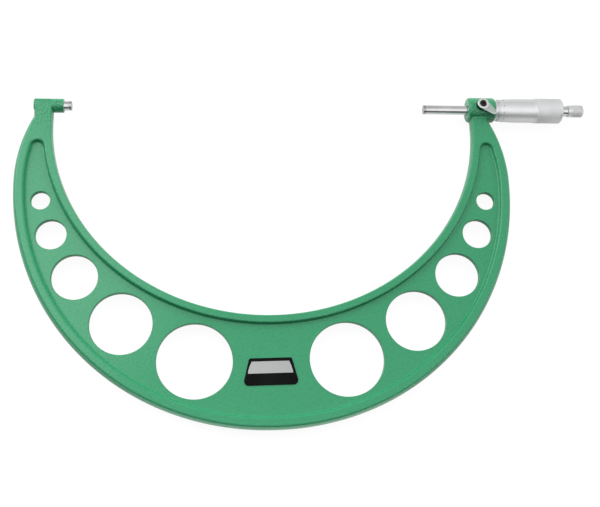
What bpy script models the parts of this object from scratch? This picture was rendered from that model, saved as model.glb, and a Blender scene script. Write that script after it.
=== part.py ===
"""Outside micrometer with a deep cast frame, for lengths from 250 to 275 mm.

It lies on its back. The origin is the centre of the anvil's measuring face, +X runs along the
measuring axis towards the thimble, the frame's bow hangs towards -Y and +Z points up, out of
the frame's front. The spindle stands at the lower end of its range.
"""

import math

import bmesh
import bpy
from mathutils import Matrix, Vector

MM = 0.001

# Measuring range and the screw
RANGE_MIN = 250.0 * MM
RANGE_TRAVEL = 25.0 * MM

# Clearances
RUN_GAP = 0.1 * MM
SEAT_GAP = 0.1 * MM
BRAZE_GAP = 0.05 * MM

# Frame casting, measured from its own centre line
FRAME_THICKNESS = 10.0 * MM
OUTER_ROUND = 3.0 * MM
INNER_ROUND = 2.0 * MM
WEB_THICKNESS = 4.0 * MM
BOW_DEPTH = 227.3 * MM
OUTER_SQUARENESS = 2.045
OUTER_DROP = 55.7 * MM
INNER_DROP = 13.3 * MM
ARM_ARC_RADIUS = 102.0 * MM
ARM_BULGE = 11.3 * MM
BOW_SIDE_WIDTH = 24.6 * MM
BOW_BOTTOM_WIDTH = 75.75 * MM
OUTER_RIM = 7.0 * MM
INNER_RIM = 5.2 * MM
POCKET_SLOPE = 1.6 * MM
POCKET_TOP = 31.5 * MM

# Lightening holes on the right arm, mirrored to the left, the smallest first:
# (angle round the bow from straight down, gap to the bow's inside, radius)
HOLES = (
    (math.radians(68.399), 11.07 * MM, 6.4 * MM),
    (math.radians(59.413), 11.34 * MM, 10.3 * MM),
    (math.radians(47.854), 11.64 * MM, 15.3 * MM),
    (math.radians(33.287), 11.83 * MM, 20.6 * MM),
    (math.radians(15.948), 12.02 * MM, 24.9 * MM),
)

# Anvil and its boss
ANVIL_RADIUS = 3.25 * MM
ANVIL_TIP_LENGTH = 1.6 * MM
ANVIL_OUT = 5.25 * MM
ANVIL_DEPTH = 14.5 * MM
ANVIL_BOSS_LENGTH = 20.3 * MM
ANVIL_BOSS_RADIUS = 4.9 * MM
ANVIL_BOSS_CHAMFER = 0.6 * MM

# Head boss
HEAD_BOSS_LENGTH = 20.0 * MM
HEAD_BOSS_IN_ARM = 14.8 * MM
HEAD_BOSS_RADIUS = 9.0 * MM
HEAD_BOSS_ROUND = 1.5 * MM
HEAD_WALL = 1.8 * MM

# Spindle
SPINDLE_RADIUS = 3.25 * MM
SPINDLE_TIP_LENGTH = 1.6 * MM
SPINDLE_OUT = 7.25 * MM
SPINDLE_HOLE_GAP = 0.25 * MM
THREAD_RADIUS = 3.5 * MM
THREAD_RUNOUT = 0.6 * MM
TAPER_LENGTH = 6.4 * MM
TAPER_DROP = 0.45 * MM
TAPER_NECK = 0.4 * MM

# Inner sleeve, pressed into the head boss and slotted where it grips the thread
INNER_SLEEVE_RADIUS = 5.5 * MM
BEARING_LENGTH = 12.5 * MM
NUT_LENGTH = 15.0 * MM
NUT_SLIT = 1.0 * MM
NUT_SLITS = 3
SLIT_LENGTH = 13.0 * MM
ADJUSTER_SEAT_RADIUS = 4.9 * MM
ADJUSTER_LENGTH = 5.6 * MM
ADJUSTER_WALL = 2.0 * MM
ADJUSTER_NOTCH = 1.2 * MM

# Graduated sleeve
SLEEVE_RADIUS = 7.3 * MM
SLEEVE_EDGE = 0.2 * MM
SPANNER_HOLE_RADIUS = 0.7 * MM
SPANNER_HOLE_INSET = 1.1 * MM

# Thimble
THIMBLE_INSET = 2.0 * MM
THIMBLE_LENGTH = 48.15 * MM
THIMBLE_EDGE_RADIUS = 7.85 * MM
THIMBLE_BEVEL_RADIUS = 8.3 * MM
THIMBLE_BEVEL_LENGTH = 6.5 * MM
THIMBLE_BODY_RADIUS = 8.6 * MM
THIMBLE_BODY_START = 12.0 * MM
GRIP_RADIUS = 9.0 * MM
GRIP_START = 26.6 * MM
GRIP_SHOULDER = 1.6 * MM
GRIP_CHAMFER = 0.9 * MM
THIMBLE_REAR_BORE = 6.4 * MM

# Connector that carries the thimble on the spindle's taper
CONNECTOR_FLANGE = 2.0 * MM
CONNECTOR_GAP = 1.4 * MM
CONNECTOR_LENGTH = 10.8 * MM

# Ratchet stop
FLANGE_RECESS = 0.35 * MM
FLANGE_THICKNESS = 4.05 * MM
NECK_RADIUS = 3.8 * MM
NECK_LENGTH = 5.6 * MM
STUD_RADIUS = 1.5 * MM
STUD_GAP = 1.0 * MM
TOOTH_COUNT = 12
TOOTH_HEIGHT = 0.4 * MM
TOOTH_INNER = 2.0 * MM
TOOTH_OUTER = 3.4 * MM
KNOB_RADIUS = 4.45 * MM
KNOB_COLLAR_RADIUS = 4.3 * MM
KNOB_COLLAR_LENGTH = 3.0 * MM
KNOB_LENGTH = 11.15 * MM
KNOB_CHAMFER = 0.5 * MM
KNOB_BORE = 3.65 * MM
KNOB_WALL = 2.6 * MM
KNOB_RECESS = 1.55 * MM
KEY_DEPTH = 0.4 * MM
KEY_WIDTH = 1.2 * MM
CLICK_THICKNESS = 2.3 * MM
CLICK_LIFT = 0.5 * MM
SPRING_WIRE = 0.25 * MM
SPRING_TURNS = 4.0
SCREW_SHANK = 0.8 * MM
SCREW_DEPTH = 5.0 * MM
SCREW_HEAD_RADIUS = 2.4 * MM
SCREW_HEAD_HEIGHT = 1.2 * MM
SCREW_SLOT = 0.7 * MM

# Spindle lock, along +Z over the spindle
LOCK_INSET = 9.35 * MM
LOCK_STUD_RADIUS = 2.5 * MM
LOCK_SHOE_HEIGHT = 1.8 * MM
LOCK_PRESS = 0.12 * MM
SPOT_FACE_DEPTH = 1.0 * MM
LEVER_HUB_RADIUS = 4.1 * MM
LEVER_HUB_HEIGHT = 3.8 * MM
LEVER_SEAT = 1.8 * MM
LEVER_LENGTH = 11.6 * MM
LEVER_TIP_RADIUS = 2.3 * MM
LEVER_THICKNESS = 2.2 * MM
LEVER_ANGLE = math.radians(-40.0)
LEVER_STUD_RADIUS = 1.9 * MM
LOCK_SCREW_HEAD_RADIUS = 2.35 * MM
LOCK_SCREW_SHANK = 0.95 * MM
LOCK_SCREW_DEPTH = 3.0 * MM
HEX_RADIUS = 1.45 * MM
HEX_DEPTH = 1.0 * MM

# Nameplate on the web
PLATE_RISE = 37.75 * MM
PLATE_HEIGHT = 17.9 * MM
PLATE_HOLE_MARGIN = 11.3 * MM
PLATE_SPREAD = 4.5 * MM
PLATE_TOP_ROUND = 1.2 * MM
PLATE_BOTTOM_ROUND = 3.0 * MM
PLATE_THICKNESS = 0.5 * MM
PLATE_TILT = math.radians(0.8)
PLATE_SHIFT = 0.6 * MM

# Facets of round shapes
FINE_SIDES = 48
ROUND_SIDES = 32
SMALL_SIDES = 24
ARC_STEPS = 56
END_STEPS = 10
EDGE_STEPS = 2
SMOOTH_ANGLE = math.radians(35.0)

# The bow's main sizes, which follow from the range and from the bosses at its arms' tops
BOW_GAP = ANVIL_OUT + RANGE_MIN + RANGE_TRAVEL + SPINDLE_OUT
ARM_HALF_SPAN = (BOW_GAP + ANVIL_BOSS_LENGTH + HEAD_BOSS_IN_ARM) / 2.0
OUTER_HALF_WIDTH = ARM_HALF_SPAN + ARM_BULGE
OUTER_HALF_HEIGHT = BOW_DEPTH - OUTER_DROP
INNER_HALF_WIDTH = OUTER_HALF_WIDTH - BOW_SIDE_WIDTH
INNER_HALF_HEIGHT = BOW_DEPTH - BOW_BOTTOM_WIDTH - INNER_DROP
PLATE_DROP = BOW_DEPTH - PLATE_RISE

# Places along the measuring axis that several pieces share
FRAME_CENTRE_X = ARM_HALF_SPAN - ANVIL_BOSS_LENGTH - ANVIL_OUT
BOSS_FACE_X = FRAME_CENTRE_X + ARM_HALF_SPAN - HEAD_BOSS_IN_ARM
BOSS_REAR_X = BOSS_FACE_X + HEAD_BOSS_LENGTH
BORE_FLOOR_X = BOSS_FACE_X + HEAD_WALL
BORE_RADIUS = INNER_SLEEVE_RADIUS + RUN_GAP
LOCK_X = BOSS_FACE_X + LOCK_INSET
LOCK_HOLE_RADIUS = LOCK_STUD_RADIUS + RUN_GAP
THIMBLE_X = BOSS_REAR_X + THIMBLE_INSET
THIMBLE_END_X = THIMBLE_X + THIMBLE_LENGTH
NECK_X = THIMBLE_END_X - FLANGE_RECESS
FLANGE_X = NECK_X - FLANGE_THICKNESS
CONNECTOR_END_X = FLANGE_X - SEAT_GAP
CONNECTOR_X = CONNECTOR_END_X - CONNECTOR_LENGTH
TAPER_X = CONNECTOR_X + CONNECTOR_FLANGE
TAPER_END_X = TAPER_X + TAPER_LENGTH
INNER_SLEEVE_X = BORE_FLOOR_X + SEAT_GAP
INNER_SLEEVE_END_X = CONNECTOR_X - CONNECTOR_GAP
NUT_X = INNER_SLEEVE_END_X - NUT_LENGTH
SHOULDER_X = INNER_SLEEVE_END_X - ADJUSTER_LENGTH - 2 * SEAT_GAP
SLEEVE_X = BOSS_REAR_X + SEAT_GAP
SLEEVE_END_X = SHOULDER_X - SEAT_GAP
SLEEVE_LENGTH = SLEEVE_END_X - SLEEVE_X
NECK_END_X = NECK_X + NECK_LENGTH
KNOB_X = NECK_END_X + 2 * SEAT_GAP
KNOB_END_X = KNOB_X + KNOB_LENGTH
RECESS_X = KNOB_END_X - KNOB_RECESS
KNOB_FLOOR_X = RECESS_X - KNOB_WALL
CLICK_END_X = NECK_END_X + SEAT_GAP + TOOTH_HEIGHT + CLICK_THICKNESS


def material(name, colour, roughness, metallic):
    """A Principled material with one colour, roughness and metallic value."""
    made = bpy.data.materials.new(name)
    made.use_nodes = True
    shader = made.node_tree.nodes["Principled BSDF"]
    shader.inputs["Base Color"].default_value = (*colour, 1.0)
    shader.inputs["Roughness"].default_value = roughness
    shader.inputs["Metallic"].default_value = metallic
    made.diffuse_color = (*colour, 1.0)
    return made


def make_materials():
    """Every material of the micrometer, by its plain name."""
    return {
        "green_paint": material("green_paint", (0.04, 0.31, 0.15), 0.45, 0.0),
        "ground_steel": material("ground_steel", (0.55, 0.55, 0.56), 0.22, 1.0),
        "satin_chrome": material("satin_chrome", (0.62, 0.63, 0.64), 0.35, 1.0),
        "carbide": material("carbide", (0.33, 0.33, 0.34), 0.25, 1.0),
        "bright_chrome": material("bright_chrome", (0.75, 0.76, 0.77), 0.12, 1.0),
        "black_oxide": material("black_oxide", (0.02, 0.02, 0.02), 0.4, 0.6),
        "brass": material("brass", (0.72, 0.52, 0.22), 0.3, 1.0),
        "printed_plate": material("printed_plate", (0.05, 0.05, 0.055), 0.35, 0.2),
    }


def finish(name, bm, look=None, at=(0.0, 0.0, 0.0)):
    """Turn a bmesh into a named object with faces pointing out and smooth rounds."""
    bmesh.ops.recalc_face_normals(bm, faces=bm.faces)
    mesh = bpy.data.meshes.new(name)
    bm.to_mesh(mesh)
    bm.free()
    mesh.shade_smooth()
    mesh.set_sharp_from_angle(angle=SMOOTH_ANGLE)
    obj = bpy.data.objects.new(name, mesh)
    obj.location = at
    bpy.context.scene.collection.objects.link(obj)
    if look is not None:
        mesh.materials.append(look)
    return obj


def cutter(obj):
    """Mark an object as a cutting shape that is not part of the micrometer."""
    obj.hide_render = True
    obj.display_type = "WIRE"
    return obj


def boolean(obj, tool, operation):
    """Cut a tool from an object, or join it on."""
    step = obj.modifiers.new(tool.name, "BOOLEAN")
    step.operation = operation
    step.solver = "EXACT"
    step.object = cutter(tool)


def revolve(bm, profile, sides, upright=False):
    """Spin a closed profile of (along, radius) points about X, or about Z when upright."""
    rings = []
    for along, radius in profile:
        ring = []
        for k in range(sides if radius > 0.0 else 1):
            angle = 2.0 * math.pi * k / sides
            across = radius * math.cos(angle)
            up = radius * math.sin(angle)
            place = (across, up, along) if upright else (along, across, up)
            ring.append(bm.verts.new(place))
        rings.append(ring)
    for here, there in zip(rings, rings[1:] + rings[:1]):
        if len(here) == 1 and len(there) == 1:
            continue
        for k in range(sides):
            after = (k + 1) % sides
            corners = [here[k % len(here)], here[after % len(here)]]
            corners += [there[after % len(there)], there[k % len(there)]]
            bm.faces.new(list(dict.fromkeys(corners)))


def turned(name, profile, look=None, sides=ROUND_SIDES, at=(0.0, 0.0, 0.0), upright=False):
    """A turned piece, as an object."""
    bm = bmesh.new()
    revolve(bm, profile, sides, upright)
    return finish(name, bm, look, at)


def loft(bm, layers):
    """Join outlines of equal length, each at its own height, into a closed prism."""
    rings = [[bm.verts.new((x, y, z)) for x, y in outline] for z, outline in layers]
    for low, high in zip(rings, rings[1:]):
        for k in range(len(low)):
            after = (k + 1) % len(low)
            bm.faces.new((low[k], low[after], high[after], high[k]))
    bm.faces.new(rings[0])
    bm.faces.new(rings[-1])


def block(bm, low, high, turn=None):
    """A box between two corners, turned by a matrix when one is given."""
    made = bmesh.ops.create_cube(bm, size=1.0)["verts"]
    size = Vector(high) - Vector(low)
    centre = (Vector(high) + Vector(low)) / 2.0
    bmesh.ops.scale(bm, vec=size, verts=made)
    bmesh.ops.translate(bm, vec=centre, verts=made)
    if turn is not None:
        bmesh.ops.transform(bm, matrix=turn, verts=made)


def arc(centre, radius, start, end, steps):
    """Points on a circle from one angle to another, both ends included."""
    points = []
    for k in range(steps + 1):
        angle = start + (end - start) * k / steps
        points.append((centre[0] + radius * math.cos(angle), centre[1] + radius * math.sin(angle)))
    return points


def outer_bottom(inset):
    """The bow's lower outside, half a slightly squared ellipse, from left to right."""
    points = []
    power = 2.0 / OUTER_SQUARENESS
    for k in range(ARC_STEPS + 1):
        angle = math.pi * k / ARC_STEPS
        across = -math.copysign(abs(math.cos(angle)) ** power, math.cos(angle))
        down = -abs(math.sin(angle)) ** power
        steep = abs(across) ** (OUTER_SQUARENESS - 1.0) / OUTER_HALF_WIDTH
        deep = abs(down) ** (OUTER_SQUARENESS - 1.0) / OUTER_HALF_HEIGHT
        normal = Vector((math.copysign(steep, across), -deep)).normalized()
        place = Vector((across * OUTER_HALF_WIDTH, down * OUTER_HALF_HEIGHT)) - normal * inset
        points.append((place.x, place.y - OUTER_DROP))
    return points


def outer_edge(inset, top):
    """The bow's outside from the left arm's top, round the bottom, to the right arm's top."""
    reach = ARM_ARC_RADIUS - inset
    centre_x = OUTER_HALF_WIDTH - ARM_ARC_RADIUS
    lean = math.acos((ARM_HALF_SPAN - inset - centre_x) / reach)
    right_arm = arc((centre_x, -OUTER_DROP), reach, 0.0, lean, END_STEPS)
    bottom = outer_bottom(inset)
    left_arm = [(-x, y) for x, y in reversed(right_arm)]
    ends = ARM_HALF_SPAN - inset
    return [(-ends, top)] + left_arm[:-1] + bottom + right_arm[1:] + [(ends, top)]


def beside_inside(angle, away):
    """A place outside the bow's inner edge, at an angle from straight down: (across, up)."""
    edge = Vector((INNER_HALF_WIDTH * math.sin(angle), -INNER_HALF_HEIGHT * math.cos(angle)))
    normal = Vector((math.sin(angle) / INNER_HALF_WIDTH, -math.cos(angle) / INNER_HALF_HEIGHT))
    place = edge + normal.normalized() * away
    return place.x, place.y - INNER_DROP


def inner_edge(inset, low_angle=0.0):
    """The bow's inside, half an ellipse, from the right arm round the bottom to the left arm."""
    points = []
    for k in range(ARC_STEPS + 1):
        angle = 2.0 * math.pi - low_angle - (math.pi - 2.0 * low_angle) * k / ARC_STEPS
        across = Vector((INNER_HALF_WIDTH * math.cos(angle), INNER_HALF_HEIGHT * math.sin(angle)))
        normal = Vector((math.cos(angle) / INNER_HALF_WIDTH, math.sin(angle) / INNER_HALF_HEIGHT))
        place = across + normal.normalized() * inset
        points.append((place.x, place.y - INNER_DROP))
    return points


def rounding(radius, height):
    """How far a rounded edge of the casting draws in at a height over its middle."""
    rise = max(0.0, height - FRAME_THICKNESS / 2.0 + radius)
    return radius - math.sqrt(max(0.0, radius ** 2 - rise ** 2))


def bow_outline(height):
    """The casting's whole outline at a height over or under its middle."""
    inset = rounding(OUTER_ROUND, abs(height))
    inner = inner_edge(rounding(INNER_ROUND, abs(height)))
    return outer_edge(inset, -inset) + [(inner[0][0], -inset)] + inner + [(inner[-1][0], -inset)]


def pocket_outline(widening):
    """The pocket between the rims, with a round end in each arm."""
    low = -POCKET_TOP
    inset = OUTER_RIM + POCKET_SLOPE - widening
    outer = [p for p in outer_edge(inset, low) if p[1] < low]
    start = math.asin((POCKET_TOP - INNER_DROP) / INNER_HALF_HEIGHT)
    inner = inner_edge(INNER_RIM + POCKET_SLOPE - widening, start)
    points = list(outer)
    for end, other, turn in ((outer[-1], inner[0], 1.0), (inner[-1], outer[0], 1.0)):
        middle = (Vector(end) + Vector(other)) / 2.0
        spoke = Vector(end) - middle
        for k in range(1, END_STEPS):
            turned_spoke = Matrix.Rotation(turn * math.pi * k / END_STEPS, 2) @ spoke
            points.append(tuple(middle + turned_spoke))
        if end == outer[-1]:
            points += inner
    return points


def make_frame(look):
    """The cast frame: rimmed bow, two bosses, pockets, bores and lightening holes."""
    half = FRAME_THICKNESS / 2.0
    bm = bmesh.new()
    heights = [half - OUTER_ROUND + OUTER_ROUND * math.sin(math.pi / 2.0 * k / EDGE_STEPS)
               for k in range(EDGE_STEPS + 1)]
    heights = [-height for height in reversed(heights)] + heights
    loft(bm, [(height, bow_outline(height)) for height in heights])
    frame = finish("frame", bm, look, (FRAME_CENTRE_X, 0.0, 0.0))
    for tool in (anvil_boss(), head_boss()):
        boolean(frame, tool, "UNION")
    for tool in (pockets(), lightening_holes(), anvil_bore(), head_bore(), lock_bore()):
        boolean(frame, tool, "DIFFERENCE")
    return frame


def anvil_boss():
    """The round boss across the left arm's top, from its outside to the anvil's collar."""
    start = FRAME_CENTRE_X - ARM_HALF_SPAN
    end = start + ANVIL_BOSS_LENGTH
    low = ANVIL_BOSS_RADIUS - ANVIL_BOSS_CHAMFER
    profile = [(start, 0.0), (start, low), (start + ANVIL_BOSS_CHAMFER, ANVIL_BOSS_RADIUS)]
    profile += [(end - ANVIL_BOSS_CHAMFER, ANVIL_BOSS_RADIUS), (end, low), (end, 0.0)]
    return turned("anvil_boss_cutter", profile)


def rounded_bar(start, end, radius, edge, steps=4):
    """Profile of a bar with rounded ends."""
    profile = [(start, 0.0)]
    profile += arc((start + edge, radius - edge), edge, math.pi, math.pi / 2.0, steps)
    profile += arc((end - edge, radius - edge), edge, math.pi / 2.0, 0.0, steps)
    return profile + [(end, 0.0)]


def head_boss():
    """The boss across the right arm's top, which holds the micrometer head."""
    profile = rounded_bar(BOSS_FACE_X, BOSS_REAR_X, HEAD_BOSS_RADIUS, HEAD_BOSS_ROUND)
    return turned("head_boss_cutter", profile, sides=FINE_SIDES)


def pockets():
    """The pockets in the front and in the back, with sloping walls."""
    web = WEB_THICKNESS / 2.0
    rise = (FRAME_THICKNESS - WEB_THICKNESS) / 2.0
    beyond = 2.0 * rise
    slope_beyond = POCKET_SLOPE * beyond / rise
    bm = bmesh.new()
    for side in (1.0, -1.0):
        layers = [(side * web, pocket_outline(0.0))]
        layers += [(side * (web + beyond), pocket_outline(slope_beyond))]
        loft(bm, layers)
    return finish("pocket_cutter", bm, at=(FRAME_CENTRE_X, 0.0, 0.0))


def lightening_holes():
    """Five round holes through the web on each side."""
    bm = bmesh.new()
    for angle, gap, radius in HOLES:
        sides = FINE_SIDES if radius > HEAD_BOSS_RADIUS else ROUND_SIDES
        for side in (-1.0, 1.0):
            centre = beside_inside(side * angle, gap + radius)
            ring = arc(centre, radius, 0.0, 2.0 * math.pi, sides)[:-1]
            loft(bm, [(-FRAME_THICKNESS, ring), (FRAME_THICKNESS, ring)])
    return finish("hole_cutter", bm, at=(FRAME_CENTRE_X, 0.0, 0.0))


def anvil_bore():
    """The blind bore that holds the anvil."""
    radius = ANVIL_RADIUS + RUN_GAP
    floor = -ANVIL_OUT - ANVIL_DEPTH
    profile = [(floor, 0.0), (floor, radius), (0.0, radius), (0.0, 0.0)]
    return turned("anvil_bore_cutter", profile)


def head_bore():
    """The spindle's hole through the boss's wall and the bore behind it for the sleeve."""
    hole = SPINDLE_RADIUS + SPINDLE_HOLE_GAP
    before = BOSS_FACE_X - HEAD_WALL
    after = BOSS_REAR_X + HEAD_WALL
    profile = [(before, 0.0), (before, hole), (BORE_FLOOR_X, hole)]
    profile += [(BORE_FLOOR_X, BORE_RADIUS), (after, BORE_RADIUS), (after, 0.0)]
    return turned("head_bore_cutter", profile)


def spot_face_z():
    """Height of the flat under the lever's hub."""
    return HEAD_BOSS_RADIUS - SPOT_FACE_DEPTH


def lock_bore():
    """The hole over the spindle for the lock, with a flat for the lever's hub."""
    spot = LEVER_HUB_RADIUS + SPINDLE_HOLE_GAP
    above = HEAD_BOSS_RADIUS + SPOT_FACE_DEPTH
    profile = [(0.0, 0.0), (0.0, LOCK_HOLE_RADIUS), (spot_face_z(), LOCK_HOLE_RADIUS)]
    profile += [(spot_face_z(), spot), (above, spot), (above, 0.0)]
    return turned("lock_bore_cutter", profile, sides=SMALL_SIDES, at=(LOCK_X, 0.0, 0.0), upright=True)


def make_anvil(steel, carbide):
    """The anvil's rod and the hard tip on its end."""
    rear = -ANVIL_OUT - ANVIL_DEPTH + SEAT_GAP
    front = -ANVIL_TIP_LENGTH - BRAZE_GAP
    profile = [(0.0, 0.0), (0.0, ANVIL_RADIUS), (front - rear, ANVIL_RADIUS), (front - rear, 0.0)]
    turned("anvil", profile, steel, at=(rear, 0.0, 0.0))
    tip = [(0.0, 0.0), (0.0, ANVIL_RADIUS), (ANVIL_TIP_LENGTH, ANVIL_RADIUS), (ANVIL_TIP_LENGTH, 0.0)]
    turned("anvil_tip", tip, carbide, at=(-ANVIL_TIP_LENGTH, 0.0, 0.0))


def make_inner_sleeve(look):
    """The sleeve in the boss: bearing, relief, then the slotted nut that fits the thread."""
    bearing = SPINDLE_RADIUS + RUN_GAP
    relief = THREAD_RADIUS + SPINDLE_HOLE_GAP
    nut = THREAD_RADIUS + RUN_GAP
    length = INNER_SLEEVE_END_X - INNER_SLEEVE_X
    shoulder = SHOULDER_X - INNER_SLEEVE_X
    nut_start = NUT_X - INNER_SLEEVE_X
    profile = [(0.0, bearing), (0.0, INNER_SLEEVE_RADIUS), (shoulder, INNER_SLEEVE_RADIUS)]
    profile += [(shoulder, ADJUSTER_SEAT_RADIUS), (length, ADJUSTER_SEAT_RADIUS), (length, nut)]
    profile += [(nut_start, nut), (nut_start, relief), (BEARING_LENGTH, relief)]
    profile += [(BEARING_LENGTH, bearing)]
    sleeve = turned("inner_sleeve", profile, look, at=(INNER_SLEEVE_X, 0.0, 0.0))
    bm = bmesh.new()
    for k in range(NUT_SLITS):
        turn = Matrix.Rotation(2.0 * math.pi * k / NUT_SLITS + math.pi / 2.0, 4, "X")
        low = (INNER_SLEEVE_END_X - SLIT_LENGTH, SPINDLE_RADIUS, -NUT_SLIT / 2.0)
        high = (INNER_SLEEVE_END_X + NUT_SLIT, INNER_SLEEVE_RADIUS + NUT_SLIT, NUT_SLIT / 2.0)
        block(bm, low, high, turn)
    boolean(sleeve, finish("slit_cutter", bm), "DIFFERENCE")
    hole = [(SPINDLE_RADIUS / 2.0, 0.0), (SPINDLE_RADIUS / 2.0, LOCK_HOLE_RADIUS)]
    hole += [(HEAD_BOSS_RADIUS, LOCK_HOLE_RADIUS), (HEAD_BOSS_RADIUS, 0.0)]
    place = (LOCK_X, 0.0, 0.0)
    port = turned("sleeve_lock_cutter", hole, sides=SMALL_SIDES, at=place, upright=True)
    boolean(sleeve, port, "DIFFERENCE")


def make_adjusting_nut(look):
    """The nut that closes the slotted sleeve onto the thread, notched for a spanner."""
    bore = ADJUSTER_SEAT_RADIUS + RUN_GAP
    outside = bore + ADJUSTER_WALL
    profile = [(0.0, bore), (0.0, outside), (ADJUSTER_LENGTH, outside), (ADJUSTER_LENGTH, bore)]
    nut = turned("adjusting_nut", profile, look, at=(SHOULDER_X + SEAT_GAP, 0.0, 0.0))
    end = SHOULDER_X + SEAT_GAP + ADJUSTER_LENGTH
    middle = bore + ADJUSTER_WALL / 2.0
    bm = bmesh.new()
    for side in (-1.0, 1.0):
        near, far = sorted((side * middle, side * (outside + ADJUSTER_NOTCH)))
        low = (end - ADJUSTER_NOTCH, near, -ADJUSTER_NOTCH / 2.0)
        block(bm, low, (end + ADJUSTER_NOTCH, far, ADJUSTER_NOTCH / 2.0))
    boolean(nut, finish("notch_cutter", bm), "DIFFERENCE")


def make_graduated_sleeve(look):
    """The sleeve that carries the millimetre scale, with a spanner hole at its back."""
    bore = INNER_SLEEVE_RADIUS + RUN_GAP
    edge = SLEEVE_RADIUS - SLEEVE_EDGE
    profile = [(0.0, bore), (0.0, edge), (SLEEVE_EDGE, SLEEVE_RADIUS)]
    profile += [(SLEEVE_LENGTH - SLEEVE_EDGE, SLEEVE_RADIUS), (SLEEVE_LENGTH, edge)]
    profile += [(SLEEVE_LENGTH, bore)]
    sleeve = turned("graduated_sleeve", profile, look, FINE_SIDES, (SLEEVE_X, 0.0, 0.0))
    hole = [(-SLEEVE_RADIUS - SLEEVE_EDGE, 0.0), (-SLEEVE_RADIUS - SLEEVE_EDGE, SPANNER_HOLE_RADIUS)]
    hole += [(-INNER_SLEEVE_RADIUS, SPANNER_HOLE_RADIUS), (-INNER_SLEEVE_RADIUS, 0.0)]
    place = (SLEEVE_X + SPANNER_HOLE_INSET, 0.0, 0.0)
    tool = turned("spanner_hole_cutter", hole, sides=SMALL_SIDES // 2, at=place, upright=True)
    boolean(sleeve, tool, "DIFFERENCE")


def taper_radius(x, gap=0.0):
    """Radius of the spindle's rear taper at a place along the axis."""
    return SPINDLE_RADIUS + gap - TAPER_DROP * (x - TAPER_X) / TAPER_LENGTH


def make_spindle(steel, carbide):
    """The spindle: ground rod, thread, taper and the tapped hole in its rear end."""
    front = RANGE_MIN + SPINDLE_TIP_LENGTH + BRAZE_GAP
    thread = INNER_SLEEVE_X + BEARING_LENGTH + SEAT_GAP
    thread_end = CONNECTOR_X - THREAD_RUNOUT
    neck = SPINDLE_RADIUS - TAPER_NECK
    hole = STUD_RADIUS + RUN_GAP
    floor = TAPER_X - STUD_GAP
    outline = [(front, 0.0), (front, SPINDLE_RADIUS), (thread, SPINDLE_RADIUS)]
    outline += [(thread + THREAD_RUNOUT, THREAD_RADIUS), (thread_end, THREAD_RADIUS)]
    outline += [(thread_end + THREAD_RUNOUT, neck), (TAPER_X - SEAT_GAP, neck)]
    outline += [(TAPER_X, taper_radius(TAPER_X)), (TAPER_END_X, taper_radius(TAPER_END_X))]
    outline += [(TAPER_END_X, hole), (floor, hole), (floor, 0.0)]
    profile = [(x - RANGE_MIN, r) for x, r in outline]
    spindle = turned("spindle", profile, steel, at=(RANGE_MIN, 0.0, 0.0))
    length = SPINDLE_TIP_LENGTH
    tip = [(0.0, 0.0), (0.0, SPINDLE_RADIUS), (length, SPINDLE_RADIUS), (length, 0.0)]
    tip = turned("spindle_tip", tip, carbide, at=(RANGE_MIN, 0.0, 0.0))
    return spindle, tip


def make_thimble(look):
    """The thimble: bevelled scale edge, plain body, thicker grip and a stepped bore."""
    bore = SLEEVE_RADIUS + RUN_GAP
    shoulder = TAPER_X + SEAT_GAP - THIMBLE_X
    grip_end = THIMBLE_LENGTH - GRIP_CHAMFER
    profile = [(0.0, bore), (0.0, THIMBLE_EDGE_RADIUS), (THIMBLE_BEVEL_LENGTH, THIMBLE_BEVEL_RADIUS)]
    profile += [(THIMBLE_BODY_START, THIMBLE_BODY_RADIUS), (GRIP_START, THIMBLE_BODY_RADIUS)]
    profile += [(GRIP_START + GRIP_SHOULDER, GRIP_RADIUS), (grip_end, GRIP_RADIUS)]
    profile += [(THIMBLE_LENGTH, GRIP_RADIUS - GRIP_CHAMFER), (THIMBLE_LENGTH, THIMBLE_REAR_BORE)]
    profile += [(shoulder, THIMBLE_REAR_BORE), (shoulder, bore)]
    return turned("thimble", profile, look, FINE_SIDES, (THIMBLE_X, 0.0, 0.0))


def make_connector(look):
    """The flanged plug that joins the thimble to the spindle's taper."""
    flange = SLEEVE_RADIUS
    body = THIMBLE_REAR_BORE - RUN_GAP
    stud = STUD_RADIUS + RUN_GAP
    floor = TAPER_END_X + SEAT_GAP
    entry = taper_radius(CONNECTOR_X, RUN_GAP)
    outline = [(CONNECTOR_X, entry), (CONNECTOR_X, flange), (TAPER_X, flange), (TAPER_X, body)]
    outline += [(CONNECTOR_END_X, body), (CONNECTOR_END_X, stud), (floor, stud)]
    outline += [(floor, taper_radius(floor, RUN_GAP))]
    profile = [(x - CONNECTOR_X, r) for x, r in outline]
    return turned("thimble_connector", profile, look, at=(CONNECTOR_X, 0.0, 0.0))


def tooth_points(flat_end, foot):
    """One click tooth as (share of a pitch, share of its height)."""
    return ((0.0, 0.0), (0.83, 1.0), (flat_end, 1.0), (foot, 0.0))


def toothed_ring(bm, teeth, base, crest, back, inner, outer):
    """A ring whose one face carries saw teeth and whose other face is flat."""
    samples = []
    for k in range(TOOTH_COUNT):
        for share, height in teeth:
            angle = 2.0 * math.pi * (k + share) / TOOTH_COUNT
            samples.append((angle, base + (crest - base) * height))
    rows = []
    for angle, along in samples:
        row = []
        for x, radius in ((along, inner), (along, outer), (back, outer), (back, inner)):
            row.append(bm.verts.new((x, radius * math.cos(angle), radius * math.sin(angle))))
        rows.append(row)
    for here, there in zip(rows, rows[1:] + rows[:1]):
        for k in range(4):
            after = (k + 1) % 4
            bm.faces.new((here[k], here[after], there[after], there[k]))


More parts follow.
